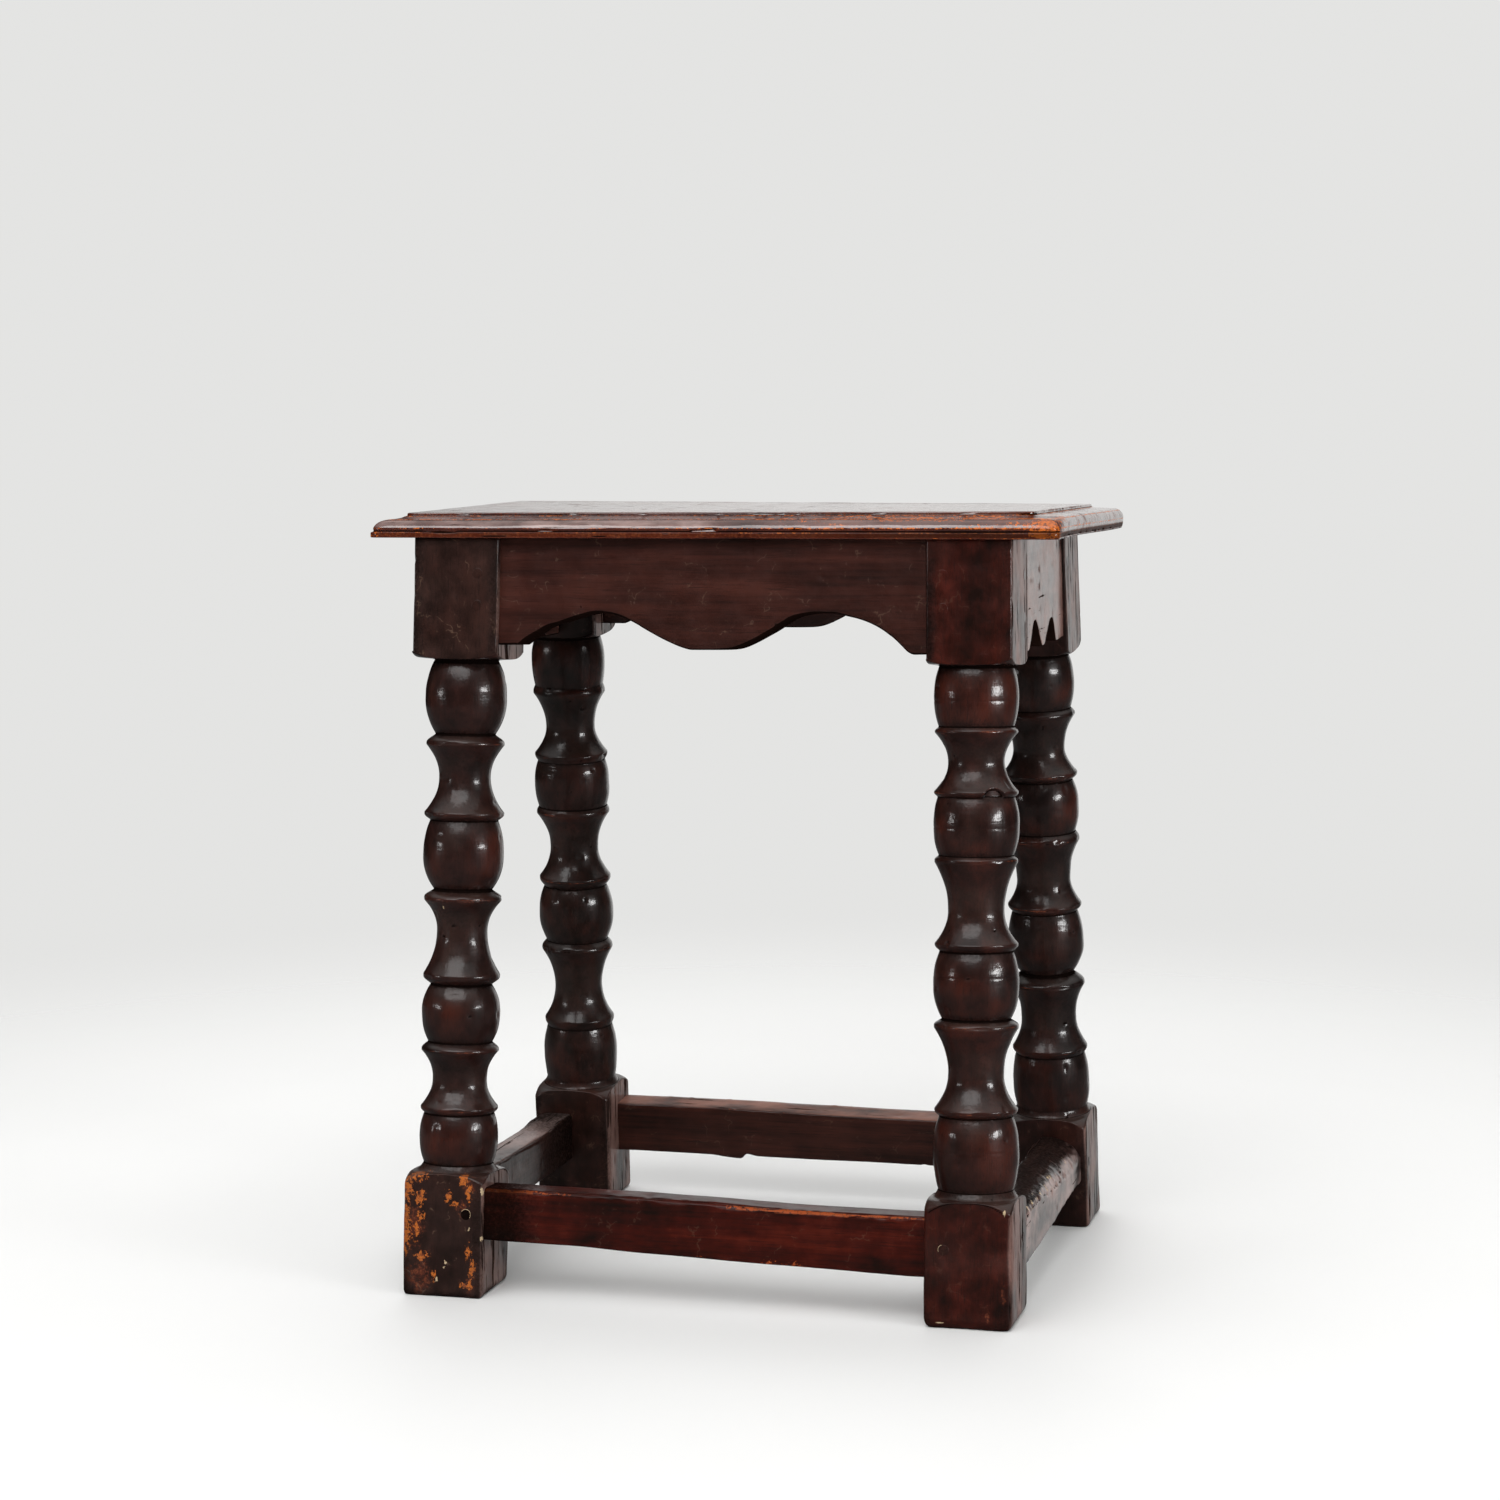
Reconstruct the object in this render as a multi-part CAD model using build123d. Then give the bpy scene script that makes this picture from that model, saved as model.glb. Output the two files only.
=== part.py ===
"""Joint stool: a moulded seat board on four turned legs, framed by pegged aprons and stretchers.

Millimetres. X runs along the stool, Y from its front to its back and Z up. The origin is on the floor
under the middle of the stool. The legs lean: each one is built along its own axis, and each apron
and stretcher in the leaning plane of its side, so that every joint follows from the same few sizes.
"""

from build123d import *
import os
from math import cos, hypot, radians, tan

# ---------------------------------------------------------------- overall sizes
frame_height = 476  # floor to the underside of the seat
frame_length = 380  # over the legs at the top, end to end
frame_width = 249  # over the legs at the top, front to back
cant_angle = 4.2  # degrees that the front and back legs lean towards each other
splay_angle = 0.7  # degrees that the left and right legs lean towards each other

# ---------------------------------------------------------------- seat board
seat_thickness = 16
end_overhang = 29  # seat past the legs at each end
side_overhang = 4.5  # seat past the legs at front and back
border_width = 18.6  # moulded border round the raised field
field_riser = 2  # step from the border up to the raised field
ovolo_width = 6.8
ovolo_top = 11.6  # height of the ovolo's upper end above the underside
bead_height = 3.6  # lowest member of the moulding
groove_depth = 1.2  # quirk between the bead and the ovolo
groove_height = 1.8
ovolo_fullness = 0.72  # how far the ovolo's middle swells towards its square corner, 0.5 being straight
border_hollow = 0.3  # the border's middle, as a share of its rise, 0.5 being straight

# ---------------------------------------------------------------- legs
leg_square = 54  # side of the square stock
leg_arris = 1.2  # rounded corner of the stock
top_shoulder_drop = 7  # rise of the domed shoulder under the top block
foot_shoulder_drop = 15  # fall of the domed shoulder on the foot block
shoulder_crown = 0.2  # share of that fall reached above the middle of a face
ball_shaving = 1.5  # what turning takes off the stock at a ball
ring_shaving = 2  # what turning takes off the stock at a ring
spool_radius = 16.5
ring_land = 1.6  # width of a ring's edge
ring_to_neck = 4  # from the middle of a ring's edge to the neck beside it

# Each leg was turned by eye. The marks are where its ring edges come, lowest ring first, in percent
# of the turned run from the foot block's shoulder up to the top block's.
LEGS = {
    "front_left": {
        "end": -1,
        "side": -1,
        "foot_top": 80,
        "block_bottom": 398,
        "neck_radius": 20,
        "marks": (10.7, 22.6, 37.1, 52.5, 69.2, 83.3),
    },
    "front_right": {
        "end": 1,
        "side": -1,
        "foot_top": 80,
        "block_bottom": 398,
        "neck_radius": 22.5,
        "marks": (15.1, 31.4, 46.9, 63.2, 75.8, 87.7),
    },
    "back_left": {
        "end": -1,
        "side": 1,
        "foot_top": 84,
        "block_bottom": 400,
        "neck_radius": 22,
        "marks": (13.6, 30.1, 45.6, 60.4, 73.1, 87.3),
    },
    "back_right": {
        "end": 1,
        "side": 1,
        "foot_top": 80,
        "block_bottom": 390,
        "neck_radius": 19.5,
        "marks": (12.9, 27.7, 44.8, 59.4, 73.5, 86.8),
    },
}

# ---------------------------------------------------------------- aprons
apron_thickness = 24
apron_setback = 4.5  # apron face behind the legs' faces
long_apron_depth = 68  # underside of the seat to the lowest part of the front or back apron
short_apron_depth = 74
long_crown_rise = 22  # height of the scalloped arches
short_crown_rise = 17
long_drop_flat = 28  # flat under the middle drop
short_drop_flat = 8
apron_end_flat = 9  # flat beside each shoulder
crown_share = 0.545  # an arch's crown, as a share of the way from the middle to the shoulder
rising_pulls = (0.3, 0.47)  # where the curve up to a crown is pulled, as shares of its run
falling_pulls = (0.45, 0.68)  # the same for the curve down to the end flat
falling_ease = 0.27  # how far the second of these pulls lies below the crown, as a share of the rise

# ---------------------------------------------------------------- stretchers
long_stretcher_thickness = 25
short_stretcher_thickness = 27
long_stretcher_setback = 4.5
short_stretcher_setback = 1.5
# Height above the floor of the lower and the upper edge, at the first and at the second leg.
STRETCHER_EDGES = {
    "front": ((28, 64), (35, 67)),
    "back": ((32, 67), (32, 65)),
    "left": ((30, 63), (30, 64)),
    "right": ((27, 61), (32, 63)),
}

# ---------------------------------------------------------------- joints
tenon_thickness = 9
tenon_setback = 12  # leg's face to the tenon's outer cheek
tenon_wall = 9  # wood left between a tenon's end and the tenon that crosses it
apron_tenon_top = 10  # apron tenon below the underside of the seat
apron_tenon_bottom = 10  # apron tenon above the apron's lower edge
stretcher_tenon_edge = 4  # stretcher tenon inside the stretcher's edges
mortise_clearance = 0.1  # round a tenon's cheeks and edges
mortise_end_gap = 1  # beyond a tenon's end
peg_diameter = 7
peg_clearance = 0.05  # round a peg, on the radius
peg_offset = 0.5  # peg's axis from the middle of its tenon's length, towards the shoulder
peg_wall = 5  # wood left between the ends of pegs that cross
apron_peg_edge = 14  # peg's axis inside the apron tenon's upper or lower edge
seat_peg_depth = 26  # seat peg below the underside of the seat
seat_peg_land = 1.5  # wood between a seat peg and the tenon cheeks beside it

# Each side of the frame: its turn about Z, the legs at its -x and +x end, and whether it is long.
SIDES = {
    "back": (0, ("back_left", "back_right"), True),
    "left": (90, ("front_left", "back_left"), False),
    "front": (180, ("front_right", "front_left"), True),
    "right": (270, ("back_right", "front_right"), False),
}

# ---------------------------------------------------------------- derived sizes
seat_length = frame_length + 2 * end_overhang
seat_width = frame_width + 2 * side_overhang
leg_half = leg_square / 2
leg_corner = hypot(leg_half, leg_half)
tenon_length = leg_square - tenon_setback - tenon_thickness - tenon_wall
peg_inset = tenon_length / 2 - peg_offset  # peg's axis from the tenon's shoulder
peg_length = leg_square - peg_inset - peg_diameter / 2 - peg_wall
overrun = 20  # stock left on past a level cut


def level_slab():
    """Everything between the floor and the underside of the seat."""
    reach = 2 * (seat_length + seat_width)
    return Pos(0, 0, frame_height / 2) * Box(reach, reach, frame_height)


# ---------------------------------------------------------------- places
def leg_place(name):
    """A leg's own axes, with Z up the leg and zero at the underside of the seat."""
    end = LEGS[name]["end"]
    side = LEGS[name]["side"]
    x = end * (frame_length - leg_square) / 2
    y = side * (frame_width - leg_square) / 2
    return Location((x, y, frame_height), (side * cant_angle, -end * splay_angle, 0))


def side_place(side):
    """A side's own axes: X along it, Y outwards and Z up, in the middle plane of its two legs."""
    turn, _, is_long = SIDES[side]
    reach = (frame_width if is_long else frame_length) / 2 - leg_half
    lean = cant_angle if is_long else splay_angle
    seat_level = Location((0, 0, frame_height), (0, 0, turn))
    return seat_level * Location((0, reach, 0), (lean, 0, 0))


def side_level(side, height):
    """A height above the floor, as Z in a side's own axes."""
    lean = cant_angle if SIDES[side][2] else splay_angle
    return (height - frame_height) / cos(radians(lean))


def half_gap(side, z):
    """Half the distance between a side's two legs, at Z in the side's own axes."""
    is_long = SIDES[side][2]
    run = frame_length if is_long else frame_width
    lean = radians(splay_angle if is_long else cant_angle)
    return (run - leg_square) / 2 - leg_half / cos(lean) - z * tan(lean)


def leg_stock(name):
    """The square stick that a leg is turned from, as the rails' shoulders meet it."""
    long_stick = Box(leg_square, leg_square, 2 * frame_height)
    return leg_place(name) * (Pos(0, 0, -frame_height / 2) * long_stick)


# ---------------------------------------------------------------- seat
def moulding_cutter(run):
    """What the plane takes off one edge: along X, with the seat's edge at Y = 0."""
    top = seat_thickness - field_riser
    groove_top = bead_height + groove_height
    ovolo_end = groove_depth + ovolo_width
    ovolo_middle = (
        -ovolo_end + ovolo_fullness * ovolo_width,
        groove_top + ovolo_fullness * (ovolo_top - groove_top),
    )
    border_middle = (-(ovolo_end + border_width) / 2, ovolo_top + border_hollow * (top - ovolo_top))
    outline = Polyline(
        (-border_width, top),
        (-border_width, seat_thickness + 1),
        (1, seat_thickness + 1),
        (1, bead_height),
        (0, bead_height),
        (-groove_depth, bead_height + groove_depth / 3),
        (-groove_depth, groove_top),
    )
    outline += ThreePointArc((-groove_depth, groove_top), ovolo_middle, (-ovolo_end, ovolo_top))
    outline += ThreePointArc((-ovolo_end, ovolo_top), border_middle, (-border_width, top))
    return extrude(Plane.YZ * make_face(outline), amount=run, both=True)


def seat_board():
    """The board, moulded on all four edges and bored for its pegs."""
    underside = Pos(0, 0, frame_height)
    board = underside * Pos(0, 0, seat_thickness / 2) * Box(seat_length, seat_width, seat_thickness)
    for turn, _, is_long in SIDES.values():
        reach = (seat_width if is_long else seat_length) / 2
        board -= underside * Rot(0, 0, turn) * Pos(0, reach, 0) * moulding_cutter(seat_length)
    for name in LEGS:
        board -= seat_peg(name, peg_clearance)
    return board


def seat_peg(name, clearance):
    """An upright peg through the seat into a leg, or its hole where there is a clearance."""
    inset = tenon_setback + tenon_thickness + peg_diameter / 2 + seat_peg_land
    x = LEGS[name]["end"] * (frame_length / 2 - inset)
    y = LEGS[name]["side"] * (frame_width / 2 - inset)
    length = seat_thickness + seat_peg_depth
    middle = frame_height + seat_thickness - length / 2
    return Pos(x, y, middle) * Cylinder(peg_diameter / 2 + clearance, length)


# ---------------------------------------------------------------- legs
def turned_run(name):
    """The round part of a leg: ball, then three times ring, spool, ring, ball."""
    neck = LEGS[name]["neck_radius"]
    ball = leg_half - ball_shaving
    ring = leg_half - ring_shaving
    low = leg_level(LEGS[name]["foot_top"])
    high = leg_level(LEGS[name]["block_bottom"])
    edges = [low + (high - low) * mark / 100 for mark in LEGS[name]["marks"]]
    ball_low = low
    outline = Polyline((0, low - overrun), (neck, low - overrun), (neck, low))
    for lower_ring, upper_ring in zip(edges[0::2], edges[1::2]):
        ball_high = lower_ring - ring_to_neck
        outline += ball_arc(neck, ball, ball_low, ball_high)
        spool_low = lower_ring + ring_land / 2
        spool_high = upper_ring - ring_land / 2
        outline += Polyline(
            (neck, ball_high), (ring, lower_ring - ring_land / 2), (ring, spool_low)
        )
        spool_waist = (spool_radius, (spool_low + spool_high) / 2)
        outline += ThreePointArc((ring, spool_low), spool_waist, (ring, spool_high))
        ball_low = upper_ring + ring_to_neck
        outline += Polyline(
            (ring, spool_high), (ring, upper_ring + ring_land / 2), (neck, ball_low)
        )
    outline += ball_arc(neck, ball, ball_low, high)
    outline += Polyline((neck, high), (neck, high + overrun), (0, high + overrun), (0, low - overrun))
    return revolve(Plane.XZ * make_face(outline), axis=Axis.Z)


def ball_arc(neck, ball, low, high):
    return ThreePointArc((neck, low), (ball, (low + high) / 2), (neck, high))


def leg_level(height):
    """A height above the floor, as Z in a leg's own axes."""
    return (height - frame_height) / cos(radians(cant_angle))


def square_block(neck, shoulder, far_end, drop):
    """Square stock from far_end to a shoulder that is domed down to the neck."""
    inward = 1 if far_end > shoulder else -1
    rim = (leg_corner, shoulder + inward * drop)
    crown = (leg_half, shoulder + inward * drop * shoulder_crown)
    dome = Polyline((neck, shoulder), (0, shoulder), (0, far_end), (leg_corner, far_end), rim)
    dome += ThreePointArc(rim, crown, (neck, shoulder))
    stick = extrude(RectangleRounded(leg_square, leg_square, leg_arris), amount=abs(far_end - shoulder))
    stick = Pos(0, 0, min(far_end, shoulder)) * stick
    return stick & revolve(Plane.XZ * make_face(dome), axis=Axis.Z)


def leg(name):
    """One leg, cut level at both ends, with its mortises and peg holes."""
    neck = LEGS[name]["neck_radius"]
    foot_top = leg_level(LEGS[name]["foot_top"])
    block_bottom = leg_level(LEGS[name]["block_bottom"])
    stick = turned_run(name)
    stick += square_block(neck, foot_top, leg_level(-overrun), foot_shoulder_drop)
    stick += square_block(neck, block_bottom, overrun, top_shoulder_drop)
    body = (leg_place(name) * stick) & level_slab()
    for side, (_, side_legs, _) in SIDES.items():
        if name in side_legs:
            end = -1 if side_legs[0] == name else 1
            body -= apron_tenon(side, end, mortise_clearance, mortise_end_gap)
            body -= stretcher_tenon(side, end, mortise_clearance, mortise_end_gap)
            for z in apron_peg_levels(side):
                body -= side_peg(side, end, z, peg_clearance)
            body -= side_peg(side, end, stretcher_peg_level(side, end), peg_clearance)
    return body - seat_peg(name, peg_clearance)


# ---------------------------------------------------------------- tenons and pegs
def tenon(side, end, low, high, clearance, end_gap):
    """A tenon from just inside its rail into the leg, or its mortise where there is a clearance."""
    root = half_gap(side, high) - tenon_length / 4
    tip = half_gap(side, (low + high) / 2) + tenon_length + end_gap
    middle_y = leg_half - tenon_setback - tenon_thickness / 2
    block = Box(tip - root, tenon_thickness + 2 * clearance, high - low + 2 * clearance)
    centre = Pos(end * (root + tip) / 2, middle_y, (low + high) / 2)
    return side_place(side) * centre * block


def apron_depth(side):
    return long_apron_depth if SIDES[side][2] else short_apron_depth


def apron_tenon(side, end, clearance=0, end_gap=0):
    low = side_level(side, frame_height - apron_depth(side) + apron_tenon_bottom)
    high = side_level(side, frame_height - apron_tenon_top)
    return tenon(side, end, low, high, clearance, end_gap)


def stretcher_tenon(side, end, clearance=0, end_gap=0):
    lower, upper = STRETCHER_EDGES[side][(end + 1) // 2]
    low = side_level(side, lower + stretcher_tenon_edge)
    high = side_level(side, upper - stretcher_tenon_edge)
    return tenon(side, end, low, high, clearance, end_gap)


def apron_peg_levels(side):
    """Z of an apron joint's lower and upper peg."""
    low = frame_height - apron_depth(side) + apron_tenon_bottom + apron_peg_edge
    high = frame_height - apron_tenon_top - apron_peg_edge
    return side_level(side, low), side_level(side, high)


def stretcher_peg_level(side, end):
    return side_level(side, sum(STRETCHER_EDGES[side][(end + 1) // 2]) / 2)


def side_peg(side, end, z, clearance=0):
    """A peg from the leg's face through a tenon, or its hole where there is a clearance."""
    peg = Cylinder(peg_diameter / 2 + clearance, peg_length)
    centre = Pos(end * (half_gap(side, z) + peg_inset), leg_half - peg_length / 2, z)
    return side_place(side) * centre * Rot(90, 0, 0) * peg


# ---------------------------------------------------------------- aprons and stretchers
def shouldered(side, board):
    """A rail's board, its ends trimmed to the two legs that it stands between."""
    for name in SIDES[side][1]:
        board -= leg_stock(name)
    return board & level_slab()


def scallop(depth, rise, drop_half, crown, arch_end):
    """Half of an apron's lower edge, from the middle drop over the arch to the end flat."""
    low = -depth
    high = rise - depth
    up_from, up_to = (drop_half + pull * (crown - drop_half) for pull in rising_pulls)
    down_from, down_to = (crown + pull * (arch_end - crown) for pull in falling_pulls)
    eased = high - falling_ease * rise
    rising = Bezier((drop_half, low), (up_from, low), (up_to, high), (crown, high))
    falling = Bezier((crown, high), (down_from, high), (down_to, eased), (arch_end, low))
    return rising + falling


def apron(side):
    """A board with a scalloped lower edge and a tenon at each end."""
    is_long = SIDES[side][2]
    depth = -side_level(side, frame_height - apron_depth(side))
    rise = long_crown_rise if is_long else short_crown_rise
    drop_half = (long_drop_flat if is_long else short_drop_flat) / 2
    shoulder = half_gap(side, -depth)
    reach = shoulder + leg_half / 2
    half = scallop(depth, rise, drop_half, crown_share * shoulder, shoulder - apron_end_flat)
    outline = half + mirror(half, Plane.YZ) + Line((-drop_half, -depth), (drop_half, -depth))
    for end in (-1, 1):
        flat_from = end * (shoulder - apron_end_flat)
        outline += Polyline((flat_from, -depth), (end * reach, -depth), (end * reach, overrun))
    outline += Line((-reach, overrun), (reach, overrun))
    board = extrude(Plane.XZ * make_face(outline), amount=apron_thickness)
    board = side_place(side) * Pos(0, leg_half - apron_setback, 0) * board
    board = shouldered(side, board)
    for end in (-1, 1):
        board += apron_tenon(side, end)
        for z in apron_peg_levels(side):
            board -= side_peg(side, end, z, peg_clearance)
    return board


def stretcher(side):
    """A low rail whose edges run a little out of level, with a tenon at each end."""
    is_long = SIDES[side][2]
    thickness = long_stretcher_thickness if is_long else short_stretcher_thickness
    setback = long_stretcher_setback if is_long else short_stretcher_setback
    corners = []
    for end, (lower, upper) in zip((-1, 1), STRETCHER_EDGES[side]):
        low = side_level(side, lower)
        high = side_level(side, upper)
        reach = half_gap(side, low) + leg_half / 2
        corners += [(end * reach, low), (end * reach, high)][::-end]
    board = extrude(Plane.XZ * make_face(Polyline(*corners, close=True)), amount=thickness)
    board = side_place(side) * Pos(0, leg_half - setback, 0) * board
    board = shouldered(side, board)
    for end in (-1, 1):
        board += stretcher_tenon(side, end)
        board -= side_peg(side, end, stretcher_peg_level(side, end), peg_clearance)
    return board


# ---------------------------------------------------------------- the whole stool
def pieces():
    """Every piece of the stool by its node's name."""
    stool = {"seat_board": seat_board()}
    for name in LEGS:
        stool[f"leg_{name}"] = leg(name)
        stool[f"peg_seat_{name}"] = seat_peg(name, 0)
    for side, (_, side_legs, _) in SIDES.items():
        stool[f"apron_{side}"] = apron(side)
        stool[f"stretcher_{side}"] = stretcher(side)
        for end, name in zip((-1, 1), side_legs):
            lower, upper = apron_peg_levels(side)
            stool[f"peg_apron_{side}_{name}_lower"] = side_peg(side, end, lower)
            stool[f"peg_apron_{side}_{name}_upper"] = side_peg(side, end, upper)
            stool[f"peg_stretcher_{side}_{name}"] = side_peg(side, end, stretcher_peg_level(side, end))
    return stool


os.makedirs("parts", exist_ok=True)
for node, shape in pieces().items():
    export_step(shape, f"parts/{node}.step")
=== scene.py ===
"""Looks of the joint stool: worn, dark-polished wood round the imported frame.

Lengths are millimetres up to the moment a mesh is made. X runs along the stool, Y from its front to its
back and Z up from the floor. Legs lean by the cant and the splay, and each rail lies in the leaning
plane of its side, as in the frame.
"""

import itertools
import math

import bpy
import numpy as np
from mathutils import Matrix, Vector


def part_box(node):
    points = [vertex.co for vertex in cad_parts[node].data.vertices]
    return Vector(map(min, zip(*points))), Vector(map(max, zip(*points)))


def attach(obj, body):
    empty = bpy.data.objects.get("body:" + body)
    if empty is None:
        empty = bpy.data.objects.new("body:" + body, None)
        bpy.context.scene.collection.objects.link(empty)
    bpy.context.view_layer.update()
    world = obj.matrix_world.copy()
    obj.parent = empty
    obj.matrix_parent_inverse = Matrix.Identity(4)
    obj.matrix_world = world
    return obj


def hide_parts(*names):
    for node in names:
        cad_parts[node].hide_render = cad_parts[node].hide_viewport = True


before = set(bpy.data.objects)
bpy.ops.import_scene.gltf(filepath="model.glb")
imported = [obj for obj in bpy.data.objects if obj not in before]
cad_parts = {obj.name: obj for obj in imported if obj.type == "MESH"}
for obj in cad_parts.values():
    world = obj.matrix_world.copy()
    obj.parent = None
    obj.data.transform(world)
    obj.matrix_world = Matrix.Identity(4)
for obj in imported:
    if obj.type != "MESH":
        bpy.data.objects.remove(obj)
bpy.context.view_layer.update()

MM = 0.001

# -------- sizes shared with the frame
seat_low, seat_high = (np.array(corner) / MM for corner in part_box("seat_board"))
UNDERSIDE = seat_low[2]
CANT = math.radians(4.2)
SPLAY = math.radians(0.7)
LEG_SQUARE = 54
LEG_HALF = LEG_SQUARE / 2
END_OVERHANG = 29
SIDE_OVERHANG = 4.5
FRAME_LENGTH = seat_high[0] - seat_low[0] - 2 * END_OVERHANG
FRAME_WIDTH = seat_high[1] - seat_low[1] - 2 * SIDE_OVERHANG
APRON_THICKNESS = 24
APRON_SETBACK = 4.5
APRON_SEED = 2000
PEG_RADIUS = 3.5

# Each side of the stool: its turn about Z, the legs at its -x and +x end, and whether it is long.
SIDES = {
    "back": (0, ("back_left", "back_right"), True),
    "left": (90, ("front_left", "back_left"), False),
    "front": (180, ("front_right", "front_left"), True),
    "right": (270, ("back_right", "front_right"), False),
}


# -------- noise
def cell_value(cells, seed):
    """A fixed pseudo-random number from -1 to 1 for each row of whole-number cells."""
    mixed = cells[:, 0] * 73856093 ^ cells[:, 1] * 19349663 ^ cells[:, 2] * 83492791 ^ seed * 265443576
    mixed = (mixed ^ mixed >> 15) * 224682251 & 0xFFFFFFFF
    mixed = (mixed ^ mixed >> 13) * 326648991 & 0xFFFFFFFF
    return (mixed ^ mixed >> 16) % 65536 / 32767.5 - 1


def noise(points, size, seed):
    """Smooth noise from -1 to 1 at points, in lumps of the given size: one number, or one for each axis."""
    scaled = points.reshape(-1, 3) / size
    cell = np.floor(scaled).astype(np.int64)
    part = scaled - cell
    part = part * part * (3 - 2 * part)
    total = np.zeros(len(scaled))
    for corner in itertools.product((0, 1), repeat=3):
        weight = np.prod(np.where(corner, part, 1 - part), axis=1)
        total += weight * cell_value(cell + corner, seed)
    return total.reshape(points.shape[:-1])


def rise(values, low, high):
    """0 below low, 1 above high and a smooth rise between them."""
    share = np.clip((values - low) / (high - low), 0, 1)
    return share * share * (3 - 2 * share)


def bell(distance, width):
    """1 at no distance, falling off smoothly to 0 over a few widths."""
    return np.exp(-((distance / width) ** 2))


# -------- curves and grids
def xyz(x, y, z):
    """Points from their coordinates: arrays that fit together, or numbers."""
    return np.stack(np.broadcast_arrays(x, y, z), axis=-1)


def through(knots, x):
    """A smooth curve through (x, height) knots, without overshoot, at each x."""
    xs, ys = np.array(knots, float).T
    gaps = np.diff(xs)
    slopes = np.diff(ys) / gaps
    tangent = np.zeros(len(xs))
    same_way = slopes[:-1] * slopes[1:] > 0
    weighted = (gaps[1:] * slopes[1:] + gaps[:-1] * slopes[:-1]) / (gaps[1:] + gaps[:-1])
    limit = 2.5 * np.minimum(abs(slopes[:-1]), abs(slopes[1:]))
    tangent[1:-1] = np.where(same_way, np.clip(weighted, -limit, limit), 0)
    k = np.clip(np.searchsorted(xs, x) - 1, 0, len(gaps) - 1)
    t = np.clip((x - xs[k]) / gaps[k], 0, 1)
    hermite = ys[k] * (1 + 2 * t) * (1 - t) ** 2 + ys[k + 1] * t * t * (3 - 2 * t)
    return hermite + gaps[k] * t * (1 - t) * (tangent[k] * (1 - t) - tangent[k + 1] * t)


def tube_faces(rows, columns, capped=True):
    """Faces of a tube of rows, each a closed ring of columns, with a cap at each end."""
    index = np.arange(rows * columns).reshape(rows, columns)
    after = np.roll(index, -1, axis=1)
    quads = np.stack([index[:-1], after[:-1], after[1:], index[1:]], axis=-1).reshape(-1, 4)
    faces = quads.tolist()
    if capped:
        faces.append(index[0][::-1].tolist())
        faces.append(index[-1].tolist())
    return faces


def bend(grid):
    """How sharply a tube bends at each of its points, in 1/mm (below 0 in hollows), and its normals."""
    around = (np.roll(grid, 1, 1) + np.roll(grid, -1, 1)) / 2 - grid
    along = np.zeros_like(grid)
    along[1:-1] = (grid[2:] + grid[:-2]) / 2 - grid[1:-1]
    run = np.gradient(grid, axis=0)
    turn = (np.roll(grid, -1, 1) - np.roll(grid, 1, 1)) / 2
    normal = np.cross(turn, run)
    normal /= np.linalg.norm(normal, axis=-1, keepdims=True) + 1e-9
    run_gap = (run**2).sum(-1) + 1e-6
    turn_gap = (turn**2).sum(-1) + 1e-6
    return -((around * normal).sum(-1) / turn_gap + (along * normal).sum(-1) / run_gap), normal


def new_object(name, data):
    """An object in the scene."""
    made = bpy.data.objects.new(name, data)
    bpy.context.scene.collection.objects.link(made)
    return made


def new_mesh(name, points, faces, material):
    """An object with a mesh from points in metres."""
    mesh = bpy.data.meshes.new(name)
    mesh.from_pydata(points.reshape(-1, 3).tolist(), [], faces)
    mesh.materials.append(material)
    return new_object(name, mesh)


def add_piece(name, points, faces, masks, material, nodes):
    """One piece of the stool in place of its nodes. Its masks, from 0 to 1, say how each point looks."""
    made = new_mesh(name, points * MM, faces, material)
    for mask, values in masks.items():
        attribute = made.data.attributes.new(mask, "FLOAT", "POINT")
        attribute.data.foreach_set("value", np.clip(values, 0, 1).astype(np.float32).ravel())
    made.data.polygons.foreach_set("use_smooth", [True] * len(faces))
    made.data.update()
    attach(made, "root")
    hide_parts(*nodes)


def add_tube(name, grid, masks, material, node):
    """A piece that is one closed tube of points, in rows round it."""
    add_piece(name, grid, tube_faces(*grid.shape[:2]), masks, material, [node])


def placed(points, matrix):
    """Points carried by a 4x4 matrix."""
    turned = np.array(matrix)
    return points @ turned[:3, :3].T + turned[:3, 3]


# -------- materials
class Value:
    """An output of a node. Arithmetic with it adds Math nodes."""

    def __init__(self, graph, socket):
        self.graph = graph
        self.socket = socket

    def __add__(self, other):
        return self.graph.math("ADD", self, other)

    def __mul__(self, other):
        return self.graph.math("MULTIPLY", self, other)

    def __sub__(self, other):
        return self.graph.math("SUBTRACT", self, other)

    def __rsub__(self, other):
        return self.graph.math("SUBTRACT", other, self)

    __radd__ = __add__
    __rmul__ = __mul__

    def held(self):
        """The same number, held between 0 and 1."""
        self.socket.node.use_clamp = True
        return self


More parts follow.
